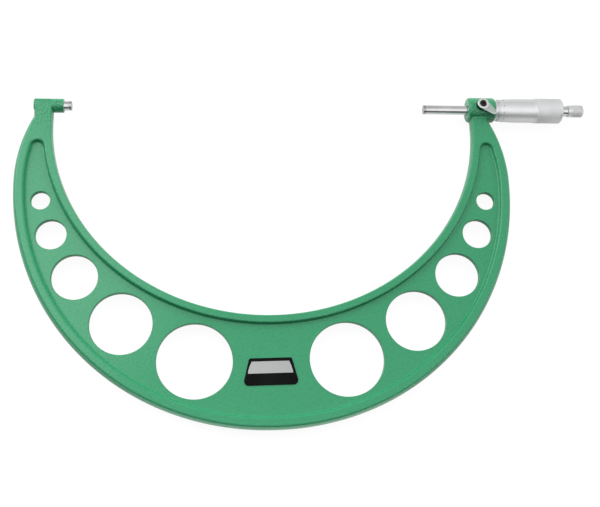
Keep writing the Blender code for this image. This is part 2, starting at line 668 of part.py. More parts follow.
def make_ratchet_body(look):
    """The ratchet stop's core: stud, flange, neck with click teeth, and the stem."""
    stud_start = TAPER_X - STUD_GAP + SEAT_GAP
    flange = THIMBLE_REAR_BORE - RUN_GAP
    stem_hole = SCREW_SHANK + RUN_GAP
    stem_end = RECESS_X
    floor = stem_end - SCREW_DEPTH
    outline = [(stud_start, 0.0), (stud_start, STUD_RADIUS), (FLANGE_X, STUD_RADIUS)]
    outline += [(FLANGE_X, flange), (NECK_X, flange), (NECK_X, NECK_RADIUS)]
    outline += [(NECK_END_X, NECK_RADIUS), (NECK_END_X, STUD_RADIUS), (stem_end, STUD_RADIUS)]
    outline += [(stem_end, stem_hole), (floor, stem_hole), (floor, 0.0)]
    profile = [(x - NECK_X, r) for x, r in outline]
    body = turned("ratchet_body", profile, look, at=(NECK_X, 0.0, 0.0))
    bm = bmesh.new()
    root = NECK_END_X - TOOTH_HEIGHT
    foot = NECK_END_X - SEAT_GAP / 4.0
    teeth = tooth_points(0.88, 0.915)
    toothed_ring(bm, teeth, foot, foot + TOOTH_HEIGHT, root, TOOTH_INNER, TOOTH_OUTER)
    boolean(body, finish("teeth_cutter", bm), "UNION")
    return body


def make_click_ring(look):
    """The sliding ring whose teeth ride over the neck's teeth, keyed to the knob."""
    bm = bmesh.new()
    base = NECK_END_X + SEAT_GAP
    inner = STUD_RADIUS + RUN_GAP
    outer = KNOB_BORE - RUN_GAP
    teeth = tooth_points(0.93, 0.965)
    toothed_ring(bm, teeth, base, base + TOOTH_HEIGHT, CLICK_END_X, inner, outer)
    ring = finish("click_ring", bm, look)
    bm = bmesh.new()
    start = base + 2 * TOOTH_HEIGHT
    half = KEY_WIDTH / 2.0 - RUN_GAP
    for side in (-1.0, 1.0):
        reach = outer + KEY_DEPTH
        near, far = sorted((side * (inner + outer) / 2.0, side * reach))
        block(bm, (start, near, -half), (CLICK_END_X - SEAT_GAP, far, half))
    boolean(ring, finish("key_cutter", bm), "UNION")
    return ring


def make_knob(look):
    """The ratchet's knob: a cup with two keyways, turning on the stem."""
    collar = KNOB_COLLAR_LENGTH
    end = KNOB_LENGTH
    bore = STUD_RADIUS + RUN_GAP
    recess = SCREW_HEAD_RADIUS + RUN_GAP
    floor = KNOB_FLOOR_X - KNOB_X
    recess_start = RECESS_X - KNOB_X
    profile = [(0.0, KNOB_BORE), (0.0, KNOB_COLLAR_RADIUS), (collar, KNOB_COLLAR_RADIUS)]
    profile += [(collar, KNOB_RADIUS), (end - KNOB_CHAMFER, KNOB_RADIUS)]
    profile += [(end, KNOB_RADIUS - KNOB_CHAMFER), (end, recess), (recess_start, recess)]
    profile += [(recess_start, bore), (floor, bore), (floor, KNOB_BORE)]
    knob = turned("ratchet_knob", profile, look, at=(KNOB_X, 0.0, 0.0))
    bm = bmesh.new()
    for side in (-1.0, 1.0):
        near, far = sorted((side * STUD_RADIUS * 1.5, side * (KNOB_BORE + KEY_DEPTH)))
        block(bm, (KNOB_X - KEY_WIDTH, near, -KEY_WIDTH / 2.0), (KNOB_FLOOR_X, far, KEY_WIDTH / 2.0))
    boolean(knob, finish("keyway_cutter", bm), "DIFFERENCE")
    return knob


def make_spring(look):
    """The coil spring that holds the click ring against the neck's teeth."""
    start = CLICK_END_X + SPRING_WIRE + SEAT_GAP
    end = KNOB_FLOOR_X - SPRING_WIRE - SEAT_GAP
    radius = (STUD_RADIUS + KNOB_BORE) / 2.0
    wire_sides = 6
    turn_steps = 14
    count = int(SPRING_TURNS * turn_steps)
    bm = bmesh.new()
    rings = []
    for k in range(count + 1):
        angle = 2.0 * math.pi * k / turn_steps
        outward = Vector((0.0, math.cos(angle), math.sin(angle)))
        centre = Vector((start + (end - start) * k / count, 0.0, 0.0)) + outward * radius
        ring = []
        for j in range(wire_sides):
            spin = 2.0 * math.pi * j / wire_sides
            offset = outward * math.cos(spin) + Vector((math.sin(spin), 0.0, 0.0))
            ring.append(bm.verts.new(centre + offset * SPRING_WIRE))
        rings.append(ring)
    for here, there in zip(rings, rings[1:]):
        for j in range(wire_sides):
            after = (j + 1) % wire_sides
            bm.faces.new((here[j], here[after], there[after], there[j]))
    bm.faces.new(rings[0])
    bm.faces.new(rings[-1])
    return finish("ratchet_spring", bm, look)


def make_ratchet_screw(look):
    """The slotted screw in the knob's end that keeps the knob on the stem."""
    start = RECESS_X - SCREW_DEPTH + SEAT_GAP
    head = RECESS_X + SEAT_GAP
    end = head + SCREW_HEAD_HEIGHT
    outline = [(start, 0.0), (start, SCREW_SHANK), (head, SCREW_SHANK), (head, SCREW_HEAD_RADIUS)]
    outline += [(end, SCREW_HEAD_RADIUS), (end, 0.0)]
    profile = [(x - start, r) for x, r in outline]
    screw = turned("ratchet_screw", profile, look, SMALL_SIDES, (start, 0.0, 0.0))
    bm = bmesh.new()
    reach = SCREW_HEAD_RADIUS + SCREW_SLOT
    low = (end - SCREW_SLOT, -reach, -SCREW_SLOT / 2.0)
    block(bm, low, (end + SCREW_SLOT, reach, SCREW_SLOT / 2.0))
    boolean(screw, finish("slot_cutter", bm), "DIFFERENCE")
    return screw


def make_lock(chrome, black, brass, steel):
    """The spindle lock: brass shoe, threaded stud, lever and the screw that holds the lever."""
    shoe_low = SPINDLE_RADIUS + LOCK_PRESS
    shoe_high = shoe_low + LOCK_SHOE_HEIGHT
    hub_low = spot_face_z() + SEAT_GAP
    seat = hub_low + LEVER_SEAT
    hub_high = hub_low + LEVER_HUB_HEIGHT
    stud_low = shoe_high + SEAT_GAP
    at = (LOCK_X, 0.0, 0.0)

    profile = [(shoe_low, 0.0), (shoe_low, LOCK_STUD_RADIUS)]
    profile += [(shoe_high, LOCK_STUD_RADIUS), (shoe_high, 0.0)]
    shoe = turned("lock_shoe", profile, brass, SMALL_SIDES, at, True)

    hole = LOCK_SCREW_SHANK + RUN_GAP
    floor = seat - LOCK_SCREW_DEPTH
    profile = [(stud_low, 0.0), (stud_low, LOCK_STUD_RADIUS), (hub_low, LOCK_STUD_RADIUS)]
    profile += [(hub_low, LEVER_STUD_RADIUS), (seat, LEVER_STUD_RADIUS), (seat, hole)]
    profile += [(floor, hole), (floor, 0.0)]
    stud = turned("lock_stud", profile, steel, SMALL_SIDES, at, True)

    lever = make_lever(chrome, hub_low + SEAT_GAP, seat + SEAT_GAP, hub_high, at)

    head_low = seat + 2 * SEAT_GAP
    head_high = hub_high - SEAT_GAP * 3
    shank_low = seat - LOCK_SCREW_DEPTH + SEAT_GAP
    profile = [(shank_low, 0.0), (shank_low, LOCK_SCREW_SHANK), (head_low, LOCK_SCREW_SHANK)]
    profile += [(head_low, LOCK_SCREW_HEAD_RADIUS), (head_high, LOCK_SCREW_HEAD_RADIUS)]
    profile += [(head_high, 0.0)]
    screw = turned("lock_screw", profile, black, SMALL_SIDES, at, True)
    bm = bmesh.new()
    hexagon = arc((0.0, 0.0), HEX_RADIUS, 0.0, 2.0 * math.pi, 6)[:-1]
    loft(bm, [(head_high - HEX_DEPTH, hexagon), (head_high + HEX_DEPTH, hexagon)])
    boolean(screw, finish("hex_cutter", bm, at=at), "DIFFERENCE")
    return shoe, stud, lever, screw


def make_lever(look, low, seat, high, at):
    """The lock's lever: a round hub with a tapering arm and a counterbored hole."""
    profile = [(low, 0.0), (low, LEVER_HUB_RADIUS), (high, LEVER_HUB_RADIUS), (high, 0.0)]
    lever = turned("lock_lever", profile, look, ROUND_SIDES, at, True)
    reach = LEVER_LENGTH - LEVER_TIP_RADIUS
    lean = math.asin((LEVER_HUB_RADIUS - LEVER_TIP_RADIUS) / reach)
    quarter = math.pi / 2.0 - lean
    root = LEVER_HUB_RADIUS - RUN_GAP
    outline = arc((0.0, 0.0), root, quarter, 2.0 * math.pi - quarter, 2 * END_STEPS)
    outline += arc((reach, 0.0), LEVER_TIP_RADIUS, -quarter, quarter, END_STEPS)
    turn = Matrix.Rotation(LEVER_ANGLE, 2)
    outline = [tuple(turn @ Vector(point)) for point in outline]
    top = high - SPINDLE_HOLE_GAP
    bm = bmesh.new()
    loft(bm, [(top - LEVER_THICKNESS, outline), (top, outline)])
    boolean(lever, finish("arm_cutter", bm, at=at), "UNION")
    bore = LEVER_STUD_RADIUS + RUN_GAP
    counterbore = LOCK_SCREW_HEAD_RADIUS + RUN_GAP
    profile = [(0.0, 0.0), (0.0, bore), (seat, bore), (seat, counterbore)]
    profile += [(2.0 * high, counterbore), (2.0 * high, 0.0)]
    hole = turned("lever_bore_cutter", profile, None, SMALL_SIDES, at, True)
    boolean(lever, hole, "DIFFERENCE")
    return lever


def rounded_corner(before, corner, after, radius, steps=5):
    """Points of an arc that rounds one corner of an outline."""
    to_before = (Vector(before) - Vector(corner)).normalized()
    to_after = (Vector(after) - Vector(corner)).normalized()
    half = to_before.angle(to_after) / 2.0
    middle = (to_before + to_after).normalized()
    centre = Vector(corner) + middle * radius / math.sin(half)
    first = Vector(corner) + to_before * radius / math.tan(half) - centre
    last = Vector(corner) + to_after * radius / math.tan(half) - centre
    sweep = first.angle_signed(last)
    points = []
    for k in range(steps + 1):
        spoke = Matrix.Rotation(-sweep * k / steps, 2) @ first
        points.append(tuple(centre + spoke))
    return points


def plate_outline():
    """The nameplate's outline, a trapezium with rounded corners, about its own middle."""
    top = PLATE_HEIGHT / 2.0
    angle, gap, radius = HOLES[-1]
    narrow = beside_inside(angle, gap + radius)[0] - radius - PLATE_HOLE_MARGIN
    wide = narrow + PLATE_SPREAD
    corners = [(-narrow, top), (-wide, -top), (wide, -top), (narrow, top)]
    rounds = (PLATE_TOP_ROUND, PLATE_BOTTOM_ROUND, PLATE_BOTTOM_ROUND, PLATE_TOP_ROUND)
    points = []
    for k, radius in enumerate(rounds):
        points += rounded_corner(corners[k - 1], corners[k], corners[(k + 1) % 4], radius)
    return points


def make_nameplate(look):
    """The blank nameplate glued on the web between the two largest holes."""
    low = WEB_THICKNESS / 2.0 + SEAT_GAP
    bm = bmesh.new()
    outline = plate_outline()
    loft(bm, [(low, outline), (low + PLATE_THICKNESS, outline)])
    plate = finish("nameplate", bm, look, (FRAME_CENTRE_X - PLATE_SHIFT, -PLATE_DROP, 0.0))
    plate.rotation_euler.z = PLATE_TILT
    return plate


def carry(name, at, pieces):
    """Parent moving pieces to an empty on their joint's axis, without moving them."""
    holder = bpy.data.objects.new(name, None)
    holder.location = at
    bpy.context.scene.collection.objects.link(holder)
    for piece in pieces:
        piece.parent = holder
        piece.location = Vector(piece.location) - Vector(at)
    return holder


def main():
    for obj in list(bpy.data.objects):
        bpy.data.objects.remove(obj)
    looks = make_materials()
    steel = looks["ground_steel"]
    satin = looks["satin_chrome"]
    make_frame(looks["green_paint"])
    make_anvil(steel, looks["carbide"])
    make_nameplate(looks["printed_plate"])
    make_inner_sleeve(steel)
    make_adjusting_nut(steel)
    make_graduated_sleeve(satin)
    spindle, tip = make_spindle(steel, looks["carbide"])
    turning = [spindle, make_thimble(satin), make_connector(steel), make_ratchet_body(satin)]
    turning.append(make_ratchet_screw(satin))
    carry("spindle_axis", (RANGE_MIN, 0.0, 0.0), [tip] + turning)
    knob = [make_knob(satin), make_click_ring(steel), make_spring(steel)]
    carry("ratchet_axis", (KNOB_X, 0.0, 0.0), knob)
    lock = make_lock(looks["bright_chrome"], looks["black_oxide"], looks["brass"], steel)
    carry("lock_axis", (LOCK_X, 0.0, 0.0), lock)
    bpy.context.view_layer.update()


main()
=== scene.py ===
"""Looks of a 250 to 275 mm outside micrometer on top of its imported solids.

Places are in metres in the part's own frame: the origin is the centre of the anvil's measuring
face, +X runs along the measuring axis and +Z points out of the frame's front.
"""

import math

import bmesh
import bpy
from mathutils import Euler, Matrix, Vector

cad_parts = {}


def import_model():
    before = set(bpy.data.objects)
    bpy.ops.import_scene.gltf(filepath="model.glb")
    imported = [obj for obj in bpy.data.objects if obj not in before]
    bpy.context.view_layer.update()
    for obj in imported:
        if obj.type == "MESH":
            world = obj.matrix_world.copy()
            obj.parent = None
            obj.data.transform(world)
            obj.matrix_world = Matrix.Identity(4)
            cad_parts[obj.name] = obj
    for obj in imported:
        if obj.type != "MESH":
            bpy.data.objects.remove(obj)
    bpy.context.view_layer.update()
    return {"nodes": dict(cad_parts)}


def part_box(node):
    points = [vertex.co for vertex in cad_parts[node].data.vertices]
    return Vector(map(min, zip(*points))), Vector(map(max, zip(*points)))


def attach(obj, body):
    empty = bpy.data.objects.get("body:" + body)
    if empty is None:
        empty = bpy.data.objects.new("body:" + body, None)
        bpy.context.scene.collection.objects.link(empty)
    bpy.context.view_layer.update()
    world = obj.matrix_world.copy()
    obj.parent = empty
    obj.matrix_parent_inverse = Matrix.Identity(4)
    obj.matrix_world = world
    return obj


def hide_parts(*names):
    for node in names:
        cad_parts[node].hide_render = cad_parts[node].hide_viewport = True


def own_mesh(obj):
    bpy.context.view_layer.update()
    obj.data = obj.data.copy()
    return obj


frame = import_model()

MM = 0.001

# ---------------------------------------------------------------- sizes, as in the solids
# All in millimetres. X places are along the measuring axis.
CENTRE_X = 135.75
HALF = 5.0
WEB = 2.0
BOW_DEPTH = 227.3
HALF_WIDTH = 172.6
SQUARENESS = 2.045
OUTER_DROP = 55.7
INNER_DROP = 13.3
ARM_ARC = 102.0
ARM_SPAN = 161.3
INNER_HALF_WIDTH = 148.0
INNER_HALF_HEIGHT = 138.25
OUTER_RIM = 7.0
INNER_RIM = 5.2
SLOPE = 1.6
POCKET_TOP = 31.5
HOLES = ((68.399, 11.07, 6.4), (59.413, 11.34, 10.3), (47.854, 11.64, 15.3),
         (33.287, 11.83, 20.6), (15.948, 12.02, 24.9))
OUTER_ROUND = 3.0
INNER_ROUND = 2.0
BOSS_FACE = 282.25
BOSS_REAR = 302.25
BOSS_RADIUS = 9.0
ANVIL_BOSS_RADIUS = 4.9
ANVIL_BOSS_X = (-25.55, -5.25)
ANVIL_BLOCK_END = -16.0
ROD_RADIUS = 3.25
THREAD_RADIUS = 3.5
THREAD_PITCH = 0.5
ANVIL_BACK = -19.65
TIP_LENGTH = 1.6
GAP = 250.0
SEAT = 0.05
LOCK_X = 291.6
SPOT_Z = 8.0
STUD_RADIUS = 2.5
LEVER_HUB_RADIUS = 4.1
LEVER_TIP_RADIUS = 2.3
LEVER_LENGTH = 11.6
LEVER_FOOT = 9.45
LEVER_TOP = 11.65
THIMBLE_X = 304.25
THIMBLE_END = 352.4
SLEEVE_X = 302.35
SLEEVE_END = 329.8
SLEEVE_RADIUS = 7.3
SLEEVE_BORE = 5.6
FIRST_MARK_X = THIMBLE_X - 0.07
RANGE = 25
NECK_X = 352.05
KNOB_X = 357.85
KNOB_END = 369.0
STEM_RADIUS = 1.5
NECK_RADIUS = 3.8
INK_FOOT, INK_TOP = -0.05, 0.012
PLATE_TOP_HALF = 14.0
PLATE_LOW_HALF = 18.5
PLATE_HEIGHT = 17.9
PLATE_MIDDLE = (CENTRE_X - 0.6, -189.55)
FLOOR_Z = -9.0


# ---------------------------------------------------------------- node helpers
def new_material(name):
    """A material, its node tree and its Principled shader."""
    made = bpy.data.materials.new(name)
    made.use_nodes = True
    tree = made.node_tree
    return made, tree, tree.nodes["Principled BSDF"]


def add(tree, kind, **values):
    """A new node; each value sets an input of that name, or else a property."""
    made = tree.nodes.new(kind)
    for key, value in values.items():
        if key in made.inputs.keys():
            made.inputs[key].default_value = value
        else:
            setattr(made, key, value)
    return made


def object_place(tree, scale=(1.0, 1.0, 1.0)):
    """Object coordinates, stretched by a scale."""
    place = add(tree, "ShaderNodeTexCoord")
    stretch = add(tree, "ShaderNodeMapping")
    stretch.inputs["Scale"].default_value = scale
    tree.links.new(place.outputs["Object"], stretch.inputs["Vector"])
    return stretch.outputs["Vector"]


def noise(tree, place, scale, detail=3.0, rough=0.5):
    made = add(tree, "ShaderNodeTexNoise", Scale=scale, Detail=detail, Roughness=rough)
    tree.links.new(place, made.inputs["Vector"])
    return made.outputs["Fac"]


def ramp(tree, value, stops):
    """A colour ramp from (place, colour) stops."""
    made = tree.nodes.new("ShaderNodeValToRGB")
    marks = made.color_ramp.elements
    while len(marks) < len(stops):
        marks.new(0.5)
    for mark, (place, colour) in zip(marks, stops):
        mark.position = place
        mark.color = (*colour, 1.0) if len(colour) == 3 else colour
    tree.links.new(value, made.inputs["Fac"])
    return made.outputs["Color"]


def spread(tree, value, low, high, from_low=0.0, from_high=1.0):
    """Map a value from one range to another, clamped at its ends."""
    made = tree.nodes.new("ShaderNodeMapRange")
    made.inputs["From Min"].default_value = from_low
    made.inputs["From Max"].default_value = from_high
    made.inputs["To Min"].default_value = low
    made.inputs["To Max"].default_value = high
    tree.links.new(value, made.inputs["Value"])
    return made.outputs["Result"]


def blend_colour(tree, share, first, second, kind="MIX"):
    """Mix two colours, each a tuple or a socket, by a share."""
    made = tree.nodes.new("ShaderNodeMix")
    made.data_type = "RGBA"
    made.blend_type = kind
    for slot, value in ((0, share), (6, first), (7, second)):
        if isinstance(value, bpy.types.NodeSocket):
            tree.links.new(value, made.inputs[slot])
        elif slot == 0:
            made.inputs[slot].default_value = value
        else:
            made.inputs[slot].default_value = (*value, 1.0)
    return made.outputs[2]


def any_of(tree, first, *others):
    """1 where any of the sockets is 1."""
    for other in others:
        made = add(tree, "ShaderNodeMath", operation="MAXIMUM")
        tree.links.new(first, made.inputs[0])
        tree.links.new(other, made.inputs[1])
        first = made.outputs[0]
    return first


def bumps(tree, shader, layers):
    """Chain bump maps of (height socket, strength, distance in metres) into the normal."""
    last = None
    for height, strength, distance in layers:
        made = add(tree, "ShaderNodeBump", Strength=strength, Distance=distance)
        tree.links.new(height, made.inputs["Height"])
        if last is not None:
            tree.links.new(last, made.inputs["Normal"])
        last = made.outputs["Normal"]
    tree.links.new(last, shader.inputs["Normal"])


def enamel():
    """Hammered sea-green enamel: dimples of about 1.6 mm, paler on their crests, coated.

    The dimples are deeper on the two bosses, which lie above the bow.
    """
    made, tree, shader = new_material("hammered_green_enamel")
    place = object_place(tree)
    wobble = add(tree, "ShaderNodeTexNoise", Scale=420.0, Detail=2.0)
    tree.links.new(place, wobble.inputs["Vector"])
    moved = blend_colour(tree, 0.0012, place, wobble.outputs["Color"], "ADD")
    cells = add(tree, "ShaderNodeTexVoronoi", Scale=620.0)
    cells.feature = "SMOOTH_F1"
    cells.inputs["Smoothness"].default_value = 0.7
    tree.links.new(moved, cells.inputs["Vector"])
    mottle = noise(tree, place, 1500.0, 3.0, 0.6)
    broad = noise(tree, place, 26.0, 3.0, 0.55)
    tone = ramp(tree, cells.outputs["Distance"], [(0.0, (0.028, 0.318, 0.142)),
                                                  (0.45, (0.024, 0.303, 0.132)),
                                                  (0.9, (0.018, 0.272, 0.114))])
    fleck = ramp(tree, mottle, [(0.42, (0.0, 0.0, 0.0)), (0.7, (1.0, 1.0, 1.0))])
    tone = blend_colour(tree, spread(tree, fleck, 0.0, 0.2), tone, (0.05, 0.38, 0.19))
    tone = blend_colour(tree, spread(tree, broad, 0.0, 0.3, 0.3, 0.7), tone, (0.018, 0.28, 0.115))
    tree.links.new(tone, shader.inputs["Base Color"])
    tree.links.new(spread(tree, mottle, 0.26, 0.42), shader.inputs["Roughness"])
    shader.inputs["Metallic"].default_value = 0.1
    shader.inputs["Specular IOR Level"].default_value = 0.22
    shader.inputs["Coat Weight"].default_value = 0.8
    shader.inputs["Coat Roughness"].default_value = 0.2
    spot = add(tree, "ShaderNodeSeparateXYZ")
    tree.links.new(place, spot.inputs[0])
    relief = add(tree, "ShaderNodeMath", operation="MULTIPLY")
    tree.links.new(cells.outputs["Distance"], relief.inputs[0])
    depth = spread(tree, spot.outputs["Y"], 0.8, 4.0, -0.024, -0.008)
    tree.links.new(depth, relief.inputs[1])
    bumps(tree, shader, [(relief.outputs[0], 0.5, 0.0004), (mottle, 0.34, 0.00014)])
    return made


def steel(name, colour, rough, lines=1.0):
    """Turned or ground metal: fine lines round the axis X, faint stains and worn patches."""
    made, tree, shader = new_material(name)
    grind = noise(tree, object_place(tree, (2600.0, 12.0, 12.0)), 1.0, 3.0, 0.6)
    place = object_place(tree)
    stain = noise(tree, place, 85.0, 4.0, 0.6)
    grain = noise(tree, place, 2600.0, 2.0, 0.5)
    dull = tuple(c * 0.86 for c in colour)
    pale = tuple(min(1.0, c * 1.07) for c in colour)
    tone = ramp(tree, stain, [(0.3, dull), (0.55, colour), (0.8, pale)])
    tone = blend_colour(tree, spread(tree, grind, 0.0, 0.22 * lines, 0.35, 0.75), tone, dull)
    tree.links.new(tone, shader.inputs["Base Color"])
    worn = spread(tree, stain, rough - 0.06, rough + 0.06, 0.3, 0.7)
    tree.links.new(worn, shader.inputs["Roughness"])
    shader.inputs["Metallic"].default_value = 1.0
    bumps(tree, shader, [(grind, 0.22 * lines, 0.00002), (grain, 0.10, 0.00002)])
    return made


def satin(name, colour, rough, grain_scale=3400.0, grain=0.3):
    """Matt chrome: a fine blasted grain, with wear that polishes it in places."""
    made, tree, shader = new_material(name)
    place = object_place(tree)
    fine = noise(tree, place, grain_scale, 2.0, 0.6)
    worn = noise(tree, place, 140.0, 4.0, 0.65)
    broad = noise(tree, place, 40.0, 2.0, 0.5)
    tone = ramp(tree, broad, [(0.25, tuple(c * 0.93 for c in colour)), (0.6, colour),
                              (0.85, tuple(min(1.0, c * 1.04) for c in colour))])
    tone = blend_colour(tree, spread(tree, fine, 0.0, 0.14), tone, tuple(c * 0.8 for c in colour))
    tree.links.new(tone, shader.inputs["Base Color"])
    polish = spread(tree, worn, rough + 0.05, rough - 0.08, 0.35, 0.75)
    tree.links.new(polish, shader.inputs["Roughness"])
    shader.inputs["Metallic"].default_value = 1.0
    bumps(tree, shader, [(fine, grain, 0.00003)])
    return made


def painted(name, colour, pale, rough, metallic=0.0, shine=0.5):
    """Plain ink, lacquer or oxide with a fine uneven surface."""
    made, tree, shader = new_material(name)
    place = object_place(tree)
    fine = noise(tree, place, 900.0, 3.0, 0.6)
    broad = noise(tree, place, 90.0, 3.0, 0.5)
    tone = ramp(tree, broad, [(0.3, colour), (0.75, pale)])
    tree.links.new(tone, shader.inputs["Base Color"])
    tree.links.new(spread(tree, fine, rough - 0.07, rough + 0.09), shader.inputs["Roughness"])
    shader.inputs["Metallic"].default_value = metallic
    shader.inputs["Specular IOR Level"].default_value = shine
    bumps(tree, shader, [(fine, 0.18, 0.00003)])
    return made


LOOKS = {
    "paint": enamel(),
    "ground": steel("ground_steel_rod", (0.66, 0.66, 0.67), 0.15),
    "carbide": steel("lapped_carbide", (0.42, 0.42, 0.43), 0.24, 0.5),
    "turned": steel("turned_steel", (0.50, 0.50, 0.51), 0.3, 1.4),
    "satin": satin("satin_chrome_skin", (0.78, 0.785, 0.795), 0.47),
    "grip": satin("knurled_chrome", (0.84, 0.845, 0.85), 0.72, 4200.0, 0.15),
    "knob": satin("knurled_knob_chrome", (0.77, 0.775, 0.78), 0.58, 4200.0, 0.12),
    # Lever: its faint green tint is a painted reflection of the green frame.
    "chrome": satin("bright_chrome_lever", (0.84, 0.87, 0.85), 0.22, 1800.0, 0.08),
    # The arm top's darker green-grey chrome is painted shade and a painted reflection of the green
    # boss.
    "arm": satin("chrome_arm_painted_shade", (0.50, 0.57, 0.53), 0.34, 1800.0, 0.12),
    # The lever's dark green sides are painted shade, the dark outline under the lever.
    "flank": satin("lever_flank_painted_shade", (0.07, 0.15, 0.11), 0.36, 1800.0, 0.12),
    "black": painted("black_oxide_screw", (0.012, 0.012, 0.013), (0.03, 0.03, 0.031), 0.38,
                     metallic=0.5),
    "brass": steel("turned_brass", (0.70, 0.50, 0.21), 0.3, 1.0),
    "ink": painted("graduation_ink", (0.012, 0.012, 0.014), (0.028, 0.028, 0.03), 0.5),
    "plate_black": painted("plate_black", (0.002, 0.0024, 0.0024), (0.006, 0.0064, 0.0064), 0.4,
                           shine=0.07),
    "plate_silver": satin("plate_silver", (0.47, 0.475, 0.475), 0.4, 2400.0, 0.12),
}


# ---------------------------------------------------------------- mesh helpers
def shade(mesh, angle):
    """Smooth shading, with edges sharper than an angle in degrees kept sharp."""
    mesh.shade_smooth()
    mesh.set_sharp_from_angle(angle=math.radians(angle))


def finish_mesh(name, bm, look, angle=35.0):
    """An object in metres from a bmesh in millimetres."""
    bmesh.ops.scale(bm, vec=(MM, MM, MM), verts=bm.verts)
    bmesh.ops.recalc_face_normals(bm, faces=bm.faces)
    mesh = bpy.data.meshes.new(name)
    bm.to_mesh(mesh)
    bm.free()
    shade(mesh, angle)
    made = bpy.data.objects.new(name, mesh)
    bpy.context.scene.collection.objects.link(made)
    if look is not None:
        mesh.materials.append(look)
    return made


def keep_first_look(mesh):
    """Drop the empty material slots that booleans leave behind the first one."""
    while len(mesh.materials) > 1:
        mesh.materials.pop()


def place_piece(piece, body, slot, *nodes):
    """Ride a piece on its body and hide the solids that it replaces; the slot is not used."""
    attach(piece, body)
    if nodes:
        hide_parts(*nodes)


def to_centre(bm):
    """Move a shape built about the bow's middle to its place."""
    bmesh.ops.translate(bm, vec=(CENTRE_X, 0.0, 0.0), verts=bm.verts)


def skin(bm, rings, closed_ends=True):
    """Join rings of equal length by faces, and close the first and the last."""
    for here, there in zip(rings, rings[1:]):
        for k in range(len(here)):
            after = (k + 1) % len(here)
            bm.faces.new((here[k], here[after], there[after], there[k]))
    if closed_ends:
        bm.faces.new(rings[0])
        bm.faces.new(rings[-1])


def loft(bm, layers):
    """Join outlines of equal length, each at its own height, into a closed prism."""
    skin(bm, [[bm.verts.new((x, y, z)) for x, y in outline] for z, outline in layers])


def soften(profile, radius, steps=3):
    """Round the corners of an open profile of (along, radius) points, ends kept."""
    made = [profile[0]]
    for before, corner, after in zip(profile, profile[1:], profile[2:]):
        corner = Vector(corner)
        one, two = Vector(before) - corner, Vector(after) - corner
        reach = min(radius, one.length * 0.45, two.length * 0.45)
        straight = one.length < 1e-6 or two.length < 1e-6 or one.angle(two) > math.radians(172.0)
        if straight or reach < 0.01:
            made.append(tuple(corner))
            continue
        first, last = corner + one.normalized() * reach, corner + two.normalized() * reach
        for k in range(steps + 1):
            t = k / steps
            made.append(tuple(first * (1 - t) ** 2 + corner * 2 * t * (1 - t) + last * t ** 2))
    return made + [profile[-1]]


def revolve(bm, profile, sides=96, upright=None):
    """Spin an open or closed profile of (along, radius) about X, or about Z at a place."""
    rings = []
    for along, radius in profile:
        ring = []
        for k in range(sides if radius > 1e-6 else 1):
            angle = 2.0 * math.pi * k / sides
            across, up = radius * math.cos(angle), radius * math.sin(angle)
            if upright is None:
                ring.append(bm.verts.new((along, across, up)))
            else:
                ring.append(bm.verts.new((upright + across, up, along)))
        rings.append(ring)
    closed = profile[0][1] > 1e-6 and profile[-1][1] > 1e-6
    pairs = list(zip(rings, rings[1:])) + ([(rings[-1], rings[0])] if closed else [])
    for here, there in pairs:
        if len(here) == 1 and len(there) == 1:
            continue
        for k in range(sides):
            after = (k + 1) % sides
            corners = [here[k % len(here)], here[after % len(here)]]
            corners += [there[after % len(there)], there[k % len(there)]]
            bm.faces.new(list(dict.fromkeys(corners)))


def turned(name, profile, look, radius=0.15, sides=96, upright=None, angle=40.0):
    """A turned piece with softly broken edges."""
    bm = bmesh.new()
    revolve(bm, soften(profile, radius), sides, upright)
    return finish_mesh(name, bm, look, angle)


def boolean(target, tool, operation):
    """Apply a boolean with a tool object, which is then removed."""
    step = target.modifiers.new(operation.lower(), "BOOLEAN")
    step.operation = operation
    step.solver = "EXACT"
    step.object = tool
    chosen = {"object": target, "active_object": target, "selected_objects": [target]}
    with bpy.context.temp_override(**chosen):
        bpy.ops.object.modifier_apply(modifier=step.name)
    bpy.data.objects.remove(tool)


# ---------------------------------------------------------------- the cast frame
def outer_edge(inset, top, steps=150):
    """The bow's outside from the left arm's top round the bottom to the right arm's top."""
    height = BOW_DEPTH - OUTER_DROP
    reach = ARM_ARC - inset
    centre = HALF_WIDTH - ARM_ARC
    lean = math.acos((ARM_SPAN - inset - centre) / reach)
    right = []
    for k in range(25):
        angle = lean * k / 24
        right.append((centre + reach * math.cos(angle), -OUTER_DROP + reach * math.sin(angle)))
    bottom = []
    for k in range(steps + 1):
        angle = math.pi * k / steps
        across = -math.copysign(abs(math.cos(angle)) ** (2.0 / SQUARENESS), math.cos(angle))
        down = -abs(math.sin(angle)) ** (2.0 / SQUARENESS)
        steep = abs(across) ** (SQUARENESS - 1.0) / HALF_WIDTH
        deep = abs(down) ** (SQUARENESS - 1.0) / height
        normal = Vector((math.copysign(steep, across), -deep)).normalized()
        spot = Vector((across * HALF_WIDTH, down * height)) - normal * inset
        bottom.append((spot.x, spot.y - OUTER_DROP))
    left = [(-x, y) for x, y in reversed(right)]
    end = ARM_SPAN - inset
    return [(-end, top)] + left[:-1] + bottom + right[1:] + [(end, top)]


def inner_place(angle, away):
    """A point at an angle from straight down, at a distance outside the bow's inner edge."""
    edge = Vector((INNER_HALF_WIDTH * math.sin(angle), -INNER_HALF_HEIGHT * math.cos(angle)))
    normal = Vector((math.sin(angle) / INNER_HALF_WIDTH, -math.cos(angle) / INNER_HALF_HEIGHT))
    spot = edge + normal.normalized() * away
    return spot.x, spot.y - INNER_DROP


def inner_edge(inset, low_angle=0.0, steps=150):
    """The bow's inside from the right arm round the bottom to the left arm."""
    half = math.pi / 2.0 - low_angle
    return [inner_place(half - 2.0 * half * k / steps, inset) for k in range(steps + 1)]


def rounding(radius, height):
    """How far a drafted side with a rounded edge draws in at a height over the casting's middle."""
    share = height / HALF
    return radius * (0.62 * share ** 1.4 + 0.38 * share ** 12)


